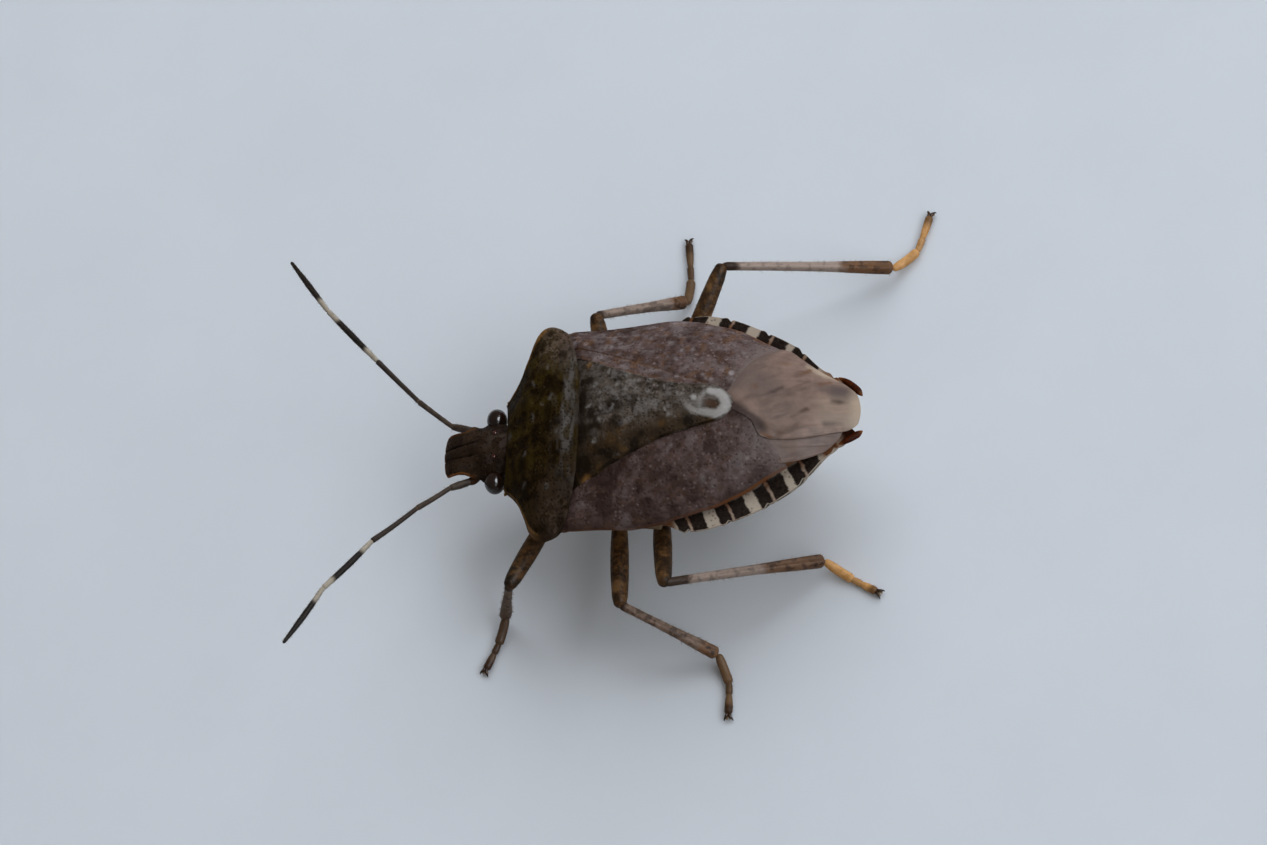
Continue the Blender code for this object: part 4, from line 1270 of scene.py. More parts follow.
@dataclass
class Membrane:
    """Clear tail part of a wing, a thin sheet with raised veins between a front and a tail curve."""

    name: str
    node: str
    front: Path
    tail: Path
    drop: float
    veins: int
    rows: int = 130
    columns: int = 180
    thickness: float = 0.045
    bright: bool = True
    free_from: float = 1.0
    vein_height: float = 0.010
    tucked_depth: float = 0.05
    edge_drop: float = 0.025
    swell: Pattern = Pattern(0.8, 111, 2)
    grain: Pattern = Pattern(0.5, 115, 4)
    vein_patches: Pattern = Pattern(0.9, 117, 2)
    streak_patches: Pattern = Pattern(0.7, 119, 2)
    frayed: Pattern = Pattern(0.25, 125, 2)

    FLOW = Curve(((10.0, 10.0), (12.2, 12.2), (13.2, 12.9), (14.5, 13.2)))
    DARK = (((-0.56, 11.70, 0.045, 0.90), (-0.72, 11.97, 0.055, 0.85)),
            ((-0.33, 11.30, 0.02, 0.35), (-0.50, 11.62, 0.03, 0.6)),
            ((-0.47, 12.22, 0.05, 0.3), (-0.47, 12.40, 0.05, 0.3)),
            ((0.16, 12.62, 0.02, 0.5), (0.06, 12.80, 0.04, 0.6)),
            ((-0.30, 13.55, 0.06, 0.60), (-0.27, 13.78, 0.09, 0.85), (-0.27, 14.02, 0.05, 0.4)),
            ((0.55, 13.33, 0.08, 0.75), (0.54, 13.60, 0.08, 0.65), (0.50, 13.88, 0.05, 0.3)))
    BROWN = ((((0.35, 12.33, 0.05, 0.4), (0.08, 12.77, 0.07, 0.75)), 0.07),
             (((0.94, 11.92, 0.10, 0.55), (0.70, 12.45, 0.08, 0.5)), 0.12),
             (((0.72, 11.35, 0.14, 0.75), (0.92, 11.85, 0.12, 0.45)), 0.16))
    GREY = ((-0.86, 13.20, 0.18, 0.6), (-0.66, 13.75, 0.32, 1.0), (-0.52, 14.20, 0.22, 0.8))
    GREY_CLOUDS = (((-0.1, 12.0), (1.1, 0.9), 0.40), ((-0.9, 11.4), (0.6, 0.5), 0.45))
    RED = ((((-1.28, 12.55, 0.04, 0.5), (-1.50, 12.82, 0.07, 0.8)), 0.06),
           (((-0.95, 13.15, 0.07, 0.6), (-1.05, 13.48, 0.05, 0.75)), 0.07),
           (((1.00, 11.36, 0.05, 0.7), (1.11, 11.62, 0.07, 0.85)), 0.06))
    RED_CLOUDS = (((-0.72, 11.13), (0.12, 0.12), 0.35), ((-1.70, 12.08), (0.10, 0.16), 0.4))
    PALE = ((-1.66, 12.75, 0.08, 0.6), (-1.45, 13.25, 0.16, 0.9), (-1.28, 13.65, 0.10, 0.7))

    def build(self, shop: Workshop) -> None:
        """Build and dress the sheet.

        Args:
            shop: The workshop.
        """
        s, t = lattice(self.rows, self.columns)
        first, last = self.front(t[0]), self.tail(t[0])
        x = mix(first[:, 0], last[:, 0], s) + 0.10 * np.sin(math.pi * s) * (2.0 * t - 1.0)
        y = mix(first[:, 1], last[:, 1], s)
        freed = ramp(self.free_from - 0.10, self.free_from + 0.02, t)
        z = BODY.back_at(x, y) - self.drop + mix(-0.02, 0.01, freed) + 0.03 * ramp(0.2, 0.6, s)
        wave = 0.072 * np.sin(6.0 * s + 2.0 * t) + 0.2 * np.sin(3.0 * s)
        vein = ramp(0.55, 0.99, np.cos(math.tau * (t * self.veins + wave)))
        vein = vein * ramp(0.10, 0.26, s) * fall(0.90, 0.99, s)
        places = stack(x, y, z)
        z = z + self.vein_height * vein + self.swell.sway(places, 0.03)
        side_edge = ramp(0.94, 1.0, t)
        z = z - self.tucked_depth * (1.0 - freed) * fall(0.0, 0.09, s) - self.edge_drop * side_edge
        under = z - self.thickness * mix(1.0, 0.5, side_edge)
        grain = self.grain.patches(stack((x + 0.45 * self.FLOW(y)) * 4.0, y * 0.8, z * 0.0), 0.46, 0.74)
        streak = 0.14 * vein * self.vein_patches.patches(places, 0.35, 0.65)
        streak = streak + 0.62 * grain * self.streak_patches.patches(places, 0.25, 0.60)
        shape = Shape()
        shape.add_plate(stack(x, y, z), stack(x, y, under), streak=streak,
                        **(self.marks(x, y, s, t) if self.bright else {"grey": 0.45 + 0.0 * x}))
        shop.dress(shape, self.name, MEMBRANE_SKIN, [self.node])

    def marks(self, x: Array, y: Array, s: Array, t: Array) -> dict[str, Array]:
        """Spots, streaks and shaded parts of the upper membrane, with painted shadows along its front and left edges.

        Args:
            x: Distances to the left.
            y: Distances from the head's front.
            s: Shares from the front edge to the tail.
            t: Shares from the right edge to the left.

        Returns:
            A mask for each named colour.
        """
        sway = self.frayed.sway(stack(x, y, x * 0), 0.05)
        x, y = x + sway, y + 2.0 * sway
        # Painted shadow: lip is a dark band along the front edge that continues the shadow line on the left wing's
        # suture.
        lip = ramp(0.17, 0.07, s) * ramp(0.50, 0.62, t) * ramp(1.0, 0.86, t)
        dark = 0.85 * sum(stroke(x, y, line, 0.10) for line in self.DARK)
        # The last term is a painted shadow along the sheet's left edge, where it lies over the lower sheet.
        dark = dark + 0.85 * lip + 0.15 * ramp(0.965, 0.995, t) * fall(0.2, 0.6, s)
        brown = sum(stroke(x, y, line, soft) for line, soft in self.BROWN)
        grey = stroke(x, y, self.GREY, 0.18) + 0.75 * ramp(0.36, 0.0, s) * ramp(0.66, 0.45, t)
        grey = grey + sum(strength * spot(x, y, place, size) for place, size, strength in self.GREY_CLOUDS)
        red = sum(stroke(x, y, line, soft) for line, soft in self.RED)
        red = red + sum(strength * spot(x, y, place, size) for place, size, strength in self.RED_CLOUDS)
        pale = stroke(x, y, self.PALE, 0.10) + 0.55 * ramp(13.9, 14.35, y)
        pale = pale + 0.34 * ramp(12.7, 13.5, y) * ramp(0.8, 0.3, np.abs(x - 0.1))
        return {"dark": dark, "brown": brown, "grey": grey, "red": red, "pale": pale}


@dataclass
class Head:
    """Head capsule with its cheek and nose plates, antenna tubercles and simple eyes."""

    width: Curve = Curve(((-0.08, 0.60), (0.02, 0.75), (0.15, 0.79), (0.60, 0.79), (0.85, 0.88), (1.02, 0.94),
                          (1.20, 0.93), (1.40, 0.98), (1.75, 1.02), (2.05, 0.94), (2.30, 0.86), (2.70, 0.84)))
    top: Curve = Curve(((-0.08, 3.12), (0.25, 3.34), (0.9, 3.55), (1.5, 3.72), (2.05, 3.80), (2.7, 3.74)))
    chin: Curve = Curve(((-0.08, 2.96), (0.2, 2.66), (0.7, 2.36), (1.4, 2.16), (2.05, 2.05), (2.7, 2.0)))
    front: float = -0.08
    back: float = 2.65
    rows: int = 170
    columns: int = 150
    groove_depth: float = 0.045
    nose_height: float = 0.035
    notch_depth: float = 0.04
    cheek_depth: float = 0.16
    ocellus: tuple[float, float, float] = (0.44, 1.86, 0.075)
    pitting: Pitting = Pitting(0.125, 0.048, 0.022, 123)
    swell: Pattern = Pattern(0.3, 121)
    marble: Pattern = Pattern(0.5, 131)
    rosy: Pattern = Pattern(0.28, 135)

    STUB_ROOT = (0.62, 1.16, 3.00)
    ORBIT = ((0.66, 1.20, 3.02), (0.88, 1.40, 3.04), (1.00, 1.66, 3.08))
    LIP = Path(((0.0, 0.06, 2.98), (0.0, 0.14, 2.70), (0.0, 0.40, 2.25), (0.0, 0.62, 1.92)))

    def height(self, x: Array, y: Array) -> Array:
        """Height of the head's top without its pits.

        Args:
            x: Distances to the left.
            y: Distances from the head's front.

        Returns:
            The heights.
        """
        share = np.minimum(np.abs(x) / self.width(y), 1.0)
        drop = mix(0.10, 0.46, ramp(0.4, 1.6, y)) * share ** 2.4
        nose = 0.237 * mix(0.80, 1.0, ramp(0.0, 1.2, y))
        groove = bell(np.abs(x), nose, 0.035) * fall(1.0, 1.45, y)
        hump = bell(x, 0.0, 0.16) * fall(1.3, 1.7, y)
        notch = bell(y, 1.30, 0.10) * ramp(0.45, 0.8, share)
        return self.top(y) - drop - self.groove_depth * groove + self.nose_height * hump - self.notch_depth * notch

    def build(self, shop: Workshop) -> None:
        """Build and dress the capsule and its simple eyes.

        Args:
            shop: The workshop.
        """
        s, u, share = mirrored_lattice(self.rows, self.columns)
        y = mix(self.front, self.back, s ** 1.08)
        x = u * self.width(y)
        y = y + 0.035 * share ** 4 * fall(0.0, 0.12, s)
        z = self.height(x, y)
        places = stack(x, y, z)
        pit = self.pitting.at(places) * fall(0.93, 0.98, share) * ramp(0.02, 0.05, s)
        z = z + self.swell.sway(places, 0.02)
        z = z + 0.02 * ramp(0.90, 0.97, share) * fall(0.3, 0.45, s)
        z = z - self.pitting.depth * pit - 0.05 * ramp(0.97, 1.0, share)
        fullness = mix(2.2, 5.0, ramp(0.2, 1.4, y))
        under = mix(np.minimum(self.chin(y), z - 0.04), z, share ** fullness)
        cheek = bell(np.abs(x), 0.30, 0.07) * ramp(0.15, 0.4, y) * fall(1.6, 2.0, y)
        shape = Shape()
        shape.add_plate(stack(x, y, z), stack(x, y, under - self.cheek_depth * cheek), pit=pit * 0.8,
                        **self.tones(places, s, share))
        self.add_tubercles(shape)
        self.add_lip(shape)
        shop.dress(shape, "head_capsule", HEAD_SKIN, ["head"])
        self.build_ocelli(shop)

    def tones(self, places: Array, s: Array, share: Array) -> dict[str, Array]:
        """Masks of the capsule's colours.

        Args:
            places: Its points before the finest relief.
            s: Shares from the front to the back.
            share: Shares of the half width.

        Returns:
            A mask for each named colour.
        """
        x, y = places[..., 0], places[..., 1]
        groove = bell(np.abs(x), 0.235, 0.05) * fall(1.0, 1.5, y)
        rim = ramp(0.86, 0.96, share) * fall(0.36, 0.5, s)
        rim = np.maximum(rim, 0.8 * fall(0.0, 0.035, s))
        dark = 0.45 * groove + 0.5 * self.marble.patches(places, 0.5, 0.65) + 0.4 * bell(x, 0.0, 0.14) * (1.0 - s)
        rose = self.rosy.patches(places, 0.52, 0.68) * (0.25 + 0.6 * ramp(1.2, 2.1, y))
        return {"rim": rim * 0.75, "rose": rose, "dark": dark}

    def add_tubercles(self, shape: Shape) -> None:
        """Add the stub that carries the antenna and the socket of the eye, on each side.

        Args:
            shape: The head in progress.
        """
        t = shares(16)
        for side in Side:
            base, joint = np.array(Antenna.JOINTS[side][:2])
            way = direction(base, joint)
            stub = Path((side.mirror(self.STUB_ROOT), base - way * 0.12, base + way * 0.06))
            radii = mix(0.17, 0.14, t) * rounded_ends(t, 0.7, 0.1, 0.07)
            shape.add_tube(rings_round(stub(t), radii, 20, 0.9), rim=0.14)
            orbit = Path(tuple(side.mirror(point) for point in self.ORBIT))
            radii = mix(0.15, 0.21, t) * rounded_ends(t, 0.6, 0.1, 0.1)
            shape.add_tube(rings_round(orbit(t), radii, 20, 0.9), dark=0.35)

    def add_lip(self, shape: Shape) -> None:
        """Add the upper lip under the nose plate, from which the beak hangs.

        Args:
            shape: The head in progress.
        """
        t = shares(14)
        radii = mix(0.20, 0.15, t) * rounded_ends(t, 1.2, 0.15, 0.1)
        shape.add_tube(rings_round(self.LIP(t), radii, 18), under=0.35, dark=0.3)

    def build_ocelli(self, shop: Workshop) -> None:
        """Build two glassy simple eyes behind the middle of the head.

        Args:
            shop: The workshop.
        """
        shape = Shape()
        rise = np.linspace(-0.5 * math.pi, 0.5 * math.pi, 14)[1:-1, None]
        angle = math.tau * np.arange(20) / 20
        ball = stack(np.cos(rise) * np.cos(angle), np.cos(rise) * np.sin(angle), 0.8 * np.sin(rise) + 0.0 * angle)
        for side in Side:
            x, y, radius = self.ocellus
            z = float(self.height(np.array(x), np.array(y)))
            shape.add_tube(side.mirror((x, y, z)) + radius * ball)
        shop.dress(shape, "simple_eyes", OCELLUS, [])


@dataclass
class Eye:
    """Bulging compound eye with its facets as small domes."""

    side: Side
    centre: tuple[float, float, float] = (1.16, 1.76, 3.19)
    radii: tuple[float, float, float] = (0.40, 0.345, 0.38)
    facets: int = 1500
    rings: int = 90
    sides: int = 120
    bulge: float = 0.006

    def build(self, shop: Workshop) -> None:
        """Build and dress the eye.

        Args:
            shop: The workshop.
        """
        t = np.linspace(-0.5 * math.pi, 0.5 * math.pi, self.rings + 2)[1:-1, None]
        angle = math.tau * np.arange(self.sides)[None] / self.sides
        ball = stack(np.sin(t) + 0.0 * angle, np.cos(t) * np.cos(angle), np.cos(t) * np.sin(angle))
        number = np.arange(self.facets) + 0.5
        polar = np.arccos(1.0 - 2.0 * number / self.facets)
        turn = math.pi * (1.0 + math.sqrt(5.0)) * number
        seeds = stack(np.cos(polar), np.sin(polar) * np.cos(turn), np.sin(polar) * np.sin(turn))
        closeness = (ball.reshape(-1, 3) @ seeds.T).max(axis=1).reshape(ball.shape[:2])
        gap = np.arccos(np.clip(closeness, -1.0, 1.0)) / math.sqrt(4.0 / self.facets)
        lift = 1.0 + self.bulge / self.radii[2] * (1.0 - gap ** 2)
        shape = Shape()
        shape.add_tube(self.side.mirror(self.centre + ball * lift[..., None] * self.radii),
                       dark=ramp(0.55, 0.95, gap) * 0.8)
        shop.dress(shape, f"compound_eye_{self.side.word}", EYE_GLASS, [f"eye_{self.side.word}"], 80.0)


@dataclass
class Coat:
    """Fine bristles as thin solid spikes, with a map that gives each one its own patch."""

    root_depth: float = 0.02
    unruly: float = 0.12
    lowest: float = 0.012
    sizes: tuple[float, float] = (0.7, 1.25)
    patch: float = 0.0015
    points: list[Array] = field(default_factory=list)
    places: list[Array] = field(default_factory=list)
    random: np.random.Generator = field(default_factory=lambda: np.random.default_rng(7))

    PATCH = np.array([[-1.0, -1.0], [1.0, -1.0], [0.0, 1.0], [0.0, 0.0]])
    SPIKE = np.array([[0, 1, 3], [1, 2, 3], [2, 0, 3], [2, 1, 0]])

    def grow(self, rings: Array, count: int, length: float, lean: float, strip: tuple[float, float],
             thickness: float = 0.011, span: tuple[float, float] = (0.03, 0.97)) -> None:
        """Grow bristles out of a tube of rings, leaning towards its end.

        Args:
            rings: Points (rings, sides, 3) of the limb.
            count: Number of bristles.
            length: Usual length.
            lean: Share of the length that points along the limb.
            strip: Low and high edge of the limb's strip on the coat's map.
            thickness: Width at the root.
            span: Shares of the limb between which they grow.
        """
        number, sides = rings.shape[:2]
        centres = rings.mean(axis=1)
        along = self.random.uniform(*span, count)
        around = self.random.uniform(0.0, 1.0, count)
        row = np.minimum((along * (number - 1)).astype(int), number - 2)
        root = rings[row, (around * sides).astype(int) % sides]
        ahead = unit(centres[row + 1] - centres[row])
        out = unit(root - centres[row])
        way = unit(out * (1.0 - lean) + ahead * lean + self.random.normal(0.0, self.unruly, (count, 3)))
        aside = unit(np.cross(way, out))
        third = np.cross(way, aside)
        size = length * self.random.uniform(*self.sizes, (count, 1))
        base = root - out * self.root_depth
        corners = [base + thickness * 0.5 * (math.cos(a) * aside + math.sin(a) * third)
                   for a in (0.0, math.tau / 3, 2 * math.tau / 3)]
        tip = root + way * size
        tip[:, 2] = np.maximum(tip[:, 2], self.lowest)
        self.points.append(np.stack([*corners, tip], axis=1))
        self.places.append(np.stack([mix(0.02, 0.98, along), mix(*strip, around)], axis=1))

    def make(self, shop: Workshop, name: str, slot: str) -> None:
        """Make the coat's mesh with its map.

        Args:
            shop: The workshop.
            name: The piece's name.
            slot: Its material slot.
        """
        spikes, places = np.concatenate(self.points), np.concatenate(self.places)
        count = len(spikes)
        faces = (4 * np.arange(count)[:, None, None] + self.SPIKE).reshape(-1, 3)
        shape = Shape()
        tone = np.repeat(self.random.uniform(0.0, 1.0, count) ** 2, 4)
        shape.add(spikes.reshape(-1, 3), faces.tolist(), dark=tone)
        item = shape.make(name, shop.shift, 30.0)
        spread = (places[:, None] + self.patch * self.PATCH).reshape(-1, 2)
        corner = np.empty(len(item.data.loops), np.int32)
        item.data.loops.foreach_get("vertex_index", corner)
        layer = item.data.uv_layers.new(name="OFBake")
        layer.data.foreach_set("uv", spread[corner].ravel().astype(np.float32))
        shop.hand_over(item, BRISTLE, [], slot)


@dataclass
class Antenna:
    """Feeler of five lengths, dark with pale bands."""

    side: Side
    radii: tuple[tuple[float, float, float], ...] = (
        (0.115, 0.135, 0.105), (0.085, 0.088, 0.100), (0.080, 0.086, 0.098), (0.080, 0.108, 0.092),
        (0.080, 0.104, 0.055))
    rings: int = 46
    sides: int = 18
    sag: float = 0.02
    hairs: tuple[int, ...] = (40, 70, 120, 330, 380)
    hair_lengths: tuple[float, ...] = (0.10, 0.10, 0.10, 0.085, 0.085)
    tips: tuple[float, ...] = (0.06, 0.06, 0.06, 0.06, 0.10)
    grain: Pattern = Pattern(0.09, 141, 2)
    frayed: Pattern = Pattern(0.18, 151, 2)

    JOINTS = {
        Side.LEFT: ((0.93, 0.84, 3.02), (1.24, 0.21, 3.29), (2.21, -0.69, 3.98), (3.70, -1.91, 4.87),
                    (5.70, -3.19, 5.81), (7.83, -4.24, 6.41)),
        Side.RIGHT: ((-1.02, 0.82, 2.92), (-1.35, 0.00, 2.76), (-2.30, -1.15, 3.02), (-3.79, -2.57, 3.53),
                     (-5.65, -4.27, 4.10), (-7.63, -5.66, 4.33)),
    }

    def build(self, shop: Workshop, coat: Coat) -> None:
        """Build and dress the feeler and grow its down.

        Args:
            shop: The workshop.
            coat: Coat that its down goes into.
        """
        joints = np.array(self.JOINTS[self.side])
        t = shares(self.rings)
        shape = Shape()
        for i, (start, end, radii) in enumerate(zip(joints, joints[1:], self.radii)):
            way, length = direction(start, end), float(np.linalg.norm(end - start))
            bow = np.sin(math.pi * t)[:, None] * np.array((0.0, 0.0, -self.sag * length))
            centres = start - way * 0.03 + (end - start + way * 0.05) * t[:, None] + bow
            radius = Curve(tuple(zip((0.0, 0.5, 1.0), radii)))(t) * rounded_ends(t, length, 0.07, self.tips[i])
            rings = rings_round(centres, radius, self.sides)
            rings = roughen(rings, centres, 1.0 + self.grain.sway(rings, 0.10, i))
            shape.add_tube(rings, **self.tones(i, t[:, None], self.frayed.sway(rings, 0.05, i)))
            low = (5 * (self.side is Side.LEFT) + i) / 10.0
            coat.grow(rings, self.hairs[i], self.hair_lengths[i], 0.55, (low + 0.01, low + 0.09), 0.009)
        nodes = [f"antenna_{self.side.word}_{i + 1}" for i in range(len(self.radii))]
        shop.dress(shape, f"feeler_{self.side.word}", ANTENNA_SKIN, nodes, 60.0)

    @staticmethod
    def tones(i: int, share: Array, sway: Array) -> dict[str, Array | float]:
        """Bands of one length.

        Args:
            i: Which length, from 0 at the head.
            share: Shares along it.
            sway: Noise that frays the bands.

        Returns:
            Masks of the pale, black, dull and joint colours.
        """
        at = share + sway
        pale = black = 0.0
        if i >= 3:
            pale = fall(0.20, 0.28, at)
            if i == 3:
                pale = np.maximum(pale, ramp(0.76, 0.84, at))
            black = 1.0 - pale
        joint = 0.8 * fall(0.02, 0.05, share) * (i < 3)
        return {"pale": pale * 0.9, "black": black * 0.92, "dusk": 0.75 * (i == 2), "joint": joint}


@dataclass
class Rostrum:
    """Beak of four lengths folded back under the thorax."""

    path: Path = Path(((0.0, 0.50, 2.06), (0.0, 0.92, 1.72), (0.0, 1.50, 1.45), (0.0, 3.00, 1.08),
                       (0.0, 4.80, 0.94), (0.0, 6.36, 0.84)))
    joints: tuple[float, ...] = (0.27, 0.56, 0.80)
    length: float = 6.2
    rings: int = 120
    sides: int = 24
    groove_depth: float = 0.045

    def build(self, shop: Workshop) -> None:
        """Build and dress the beak.

        Args:
            shop: The workshop.
        """
        t = shares(self.rings)
        radii = mix(0.155, 0.075, t) * rounded_ends(t, self.length, 0.12, 0.25)
        for joint in self.joints:
            radii = radii * (1.0 - 0.22 * bell(t, joint, 0.008)) * (1.0 + 0.10 * bell(t, joint - 0.025, 0.015))
        rings = rings_round(self.path(t), radii, self.sides, 0.85)
        groove = bell(math.tau * np.arange(self.sides) / self.sides, 1.5 * math.pi, 0.22)[None]
        rings[..., 2] += self.groove_depth * groove * (1.0 - t[:, None])
        shape = Shape()
        shape.add_tube(rings, groove=groove * 0.8, dark=ramp(0.86, 0.96, t)[:, None])
        shop.dress(shape, "beak", BEAK_SKIN, ["rostrum"])


@dataclass
class Thorax:
    """Underside of the thorax, with the seams of its plates, its scent pore and the six coxae."""

    rows: int = 130
    columns: int = 190
    first: float = 2.25
    last: float = 7.75
    seams: tuple[float, ...] = (4.28, 5.98)
    seam_depth: float = 0.06
    trough_depth: float = 0.16
    side_swell: float = 0.224
    pore_height: float = 0.09
    pitting: Pitting = Pitting(0.20, 0.066, 0.03, 163)
    coxa_pitting: Pitting = Pitting(0.16, 0.05, 0.05, 171)
    swell: Pattern = Pattern(0.5, 161)

    MATT = ((2.15, 6.55), (0.85, 0.36), 70.0)
    PORE = ((1.75, 6.42), (0.10, 0.34), 72.0)
    COXA = Curve(((0.0, 0.44), (0.45, 0.40), (0.8, 0.33), (1.0, 0.27)))

    def build(self, shop: Workshop) -> None:
        """Build and dress the underside.

        Args:
            shop: The workshop.
        """
        s, u, share = mirrored_lattice(self.rows, self.columns)
        y = mix(self.first, self.last, s)
        x = u * (BODY.width(y) - 0.06 - 0.14 * ramp(4.2, 5.0, y))
        edge = BODY.edge(y) - mix(0.16, 0.24, ramp(4.4, 5.4, y))
        z = mix(BODY.belly(y), edge, share ** mix(1.05, 1.9, ramp(7.0, 8.6, y)))
        z = z - self.side_swell * np.sin(math.pi * share) * (1.0 - share) + self.trough_depth * bell(x, 0.0, 0.26)
        lines = [seam + 0.45 * share - 0.25 * share ** 2 for seam in self.seams]
        crease = sum(bell(y, line, 0.045) for line in lines)
        z = z + self.seam_depth * crease * ramp(0.15, 0.3, share) * fall(0.9, 0.98, share)
        places = stack(x, y, z)
        matt = held(pair(x, y, *self.MATT))
        pit = self.pitting.at(places) * ramp(0.25, 0.4, share) * (1.0 - 0.9 * matt)
        z = z + self.swell.sway(places, 0.04) + self.pitting.depth * pit
        z = z - self.pore_height * pair(x, y, *self.PORE)
        groove = sum(bell(y, line, 0.05) for line in lines) + 1.6 * ramp(0.90, 0.97, share)
        top = BODY.back_at(x, y) - 0.24 - 0.10 * (1.0 - share ** 6)
        top = mix(top, z, ramp(0.93, 1.0, share))
        top[0], top[-1] = z[0], z[-1]
        shape = Shape()
        shape.add_plate(stack(x, y, top), stack(x, y, z), pit=pit * 0.75, groove=held(groove) * 0.6,
                        matt=matt * 0.8)
        for joints in Leg.JOINTS.values():
            self.add_coxa(shape, *np.array(joints[:2]))
        shop.dress(shape, "thorax_underside", THORAX_SKIN, ["thorax"])

    def add_coxa(self, shape: Shape, root: Array, knee: Array) -> None:
        """Add the stout cone that carries a leg.

        Args:
            shape: The underside in progress.
            root: Where the leg's femur starts.
            knee: Where the femur ends.
        """
        way = direction(root, knee)
        t = shares(22)
        centres = Path((root - way * 0.62 + (0.0, 0.0, 0.42), root - way * 0.30, root + way * 0.05))(t)
        rings = rings_round(centres, self.COXA(t) * rounded_ends(t, 0.9, 0.16, 0.12), 26)
        pit = self.coxa_pitting.at(rings)
        rings = roughen(rings, centres, 1.0 - self.coxa_pitting.depth * pit)
        shape.add_tube(rings, pit=pit * 0.6, groove=0.5 * ramp(0.80, 0.90, t)[:, None])


@dataclass
class Abdomen:
    """Abdomen with its banded rim beside the wings, belly plates, breathing holes and tail lobes."""

    rows: int = 250
    columns: int = 190
    first: float = 7.30
    last: float = 14.27
    boundaries: tuple[float, ...] = (8.71, 10.05, 11.31, 12.47, 13.50)
    rim_width: float = 0.86
    crease_depth: float = 0.05
    hole_depth: float = 0.05
    rounded_from: float = 13.55
    pitting: Pitting = Pitting(0.15, 0.050, 0.02, 183)
    swell: Pattern = Pattern(0.4, 181)
    ripple: Pattern = Pattern(0.25, 185, 2)
    ragged: Pattern = Pattern(0.22, 187)
    lobe_grain: Pattern = Pattern(0.12, 191, 2)

    TAIL_BLOT = ((1.34, 13.30), (0.14, 0.16))
    LOBE_RADIUS = Curve(((0.0, 0.03), (0.4, 0.115), (0.75, 0.12), (1.0, 0.03)))
    LOBES = (Path(((1.10, 13.66, 3.28), (0.95, 13.94, 3.24), (0.78, 14.22, 3.19), (0.60, 14.46, 3.14))),
             Path(((-1.40, 13.66, 3.28), (-1.22, 13.94, 3.24), (-0.98, 14.22, 3.19), (-0.68, 14.46, 3.14))))

    def build(self, shop: Workshop) -> None:
        """Build and dress the abdomen and its lobes.

        Args:
            shop: The workshop.
        """
        s, even, _ = mirrored_lattice(self.rows, self.columns)
        u = np.sin(0.5 * math.pi * even)
        share = np.abs(u)
        y = mix(self.first, self.last, s)
        notch = sum(0.075 * bell(y, b + 0.02, 0.055) - 0.035 * bell(y, b - 0.12, 0.09) for b in self.boundaries)
        width = BODY.width(y) - 0.02 - notch - 0.30 * fall(7.9, 8.6, y)
        width = width - 0.20 * (u > 0) * ramp(12.8, 13.7, y)
        x = u * width
        place_y = y - 0.38 * ramp(13.6, self.last, y) * (1.0 - share ** 1.8)
        edge = BODY.edge(y) - 0.03
        inner = 1.0 - self.rim_width / width
        rim = ramp(inner - 0.08, inner + 0.02, share) * ramp(7.9, 8.5, y)
        top = mix(BODY.back_at(x, place_y) - 0.34, edge + 0.02, rim)
        power = mix(1.6, 2.5, ramp(7.6, 9.4, y)) - 0.9 * ramp(11.8, 13.2, y)
        crease = sum(bell(y, b - 0.10 * share, 0.05) for b in self.boundaries) * (1.0 - share ** 8)
        bottom = mix(BODY.belly(place_y), edge - 0.05, share ** power) + self.crease_depth * crease
        ending = held((y - self.rounded_from) / (self.last - self.rounded_from))
        bottom = top - (top - bottom) * np.maximum(np.sqrt(1.0 - ending ** 2), 0.08)
        low_places, high_places = stack(x, place_y, bottom), stack(x, place_y, top)
        hole = self.holes(share, y)
        bottom = bottom + self.swell.sway(low_places, 0.025) + self.hole_depth * hole
        pit = self.pitting.at(high_places) * rim
        top = top - self.pitting.depth * pit + self.ripple.sway(high_places, 0.02) * rim
        bar, brown = self.tones(x, y, width, self.ragged.sway(low_places, 0.10))
        below = {"bar": held(bar) * ramp(0.88, 0.96, share), "rim": rim * 0.3,
                 "brown": 0.55 * ramp(13.2, 14.1, y) + 0.22 * crease}
        shape = Shape()
        shape.add_plate(stack(x, place_y, top), stack(x, place_y, np.minimum(bottom, top - 0.03)), below, bar=bar,
                        rim=rim * 0.85, pit=pit * 0.6 + hole, brown=brown, dark=ramp(13.72, 13.95, y) * rim)
        shop.dress(shape, "abdomen", ABDOMEN_SKIN, ["abdomen"])
        self.build_lobes(shop)

    def tones(self, x: Array, y: Array, width: Array, sway: Array) -> tuple[Array, Array]:
        """Masks of the upper side's colours.

        Args:
            x: Distances to the left.
            y: Distances from the head's front.
            width: Half widths of the abdomen.
            sway: Noise that frays the bars.

        Returns:
            Masks of the dark bars and of the brown parts.
        """
        wing = np.where(x > 0, BODY.wing_edge(Side.LEFT, y), BODY.wing_edge(Side.RIGHT, y))
        from_wing = np.abs(x) - wing
        outward = y - 0.36 * np.clip(from_wing, -0.3, 1.0)
        bar = self.bars(outward + sway) * ramp(-0.17, -0.08, from_wing + sway)
        bar = bar * ramp(width + 0.01, width - 0.03, np.abs(x))
        seam = sum(window(b - 0.09, b + 0.06, 0.03, outward) for b in self.boundaries)
        brown = 0.9 * fall(-0.16, -0.07, from_wing) + 0.95 * fall(8.1, 8.4, y)
        brown = brown + mix(0.85, 0.42, ramp(0.0, 0.4, from_wing)) * seam
        brown = brown + 0.85 * spot(x, y, *self.TAIL_BLOT) + 0.65 * ramp(12.95, 13.3, y) + 0.14 * (x < 0)
        return bar, brown

    def bars(self, y: Array) -> Array:
        """Dark bars before and behind each segment's end."""
        return sum(window(b - 0.41, b - 0.085, 0.045, y) + window(b + 0.045, b + 0.47, 0.045, y)
                   for b in self.boundaries[:-1])

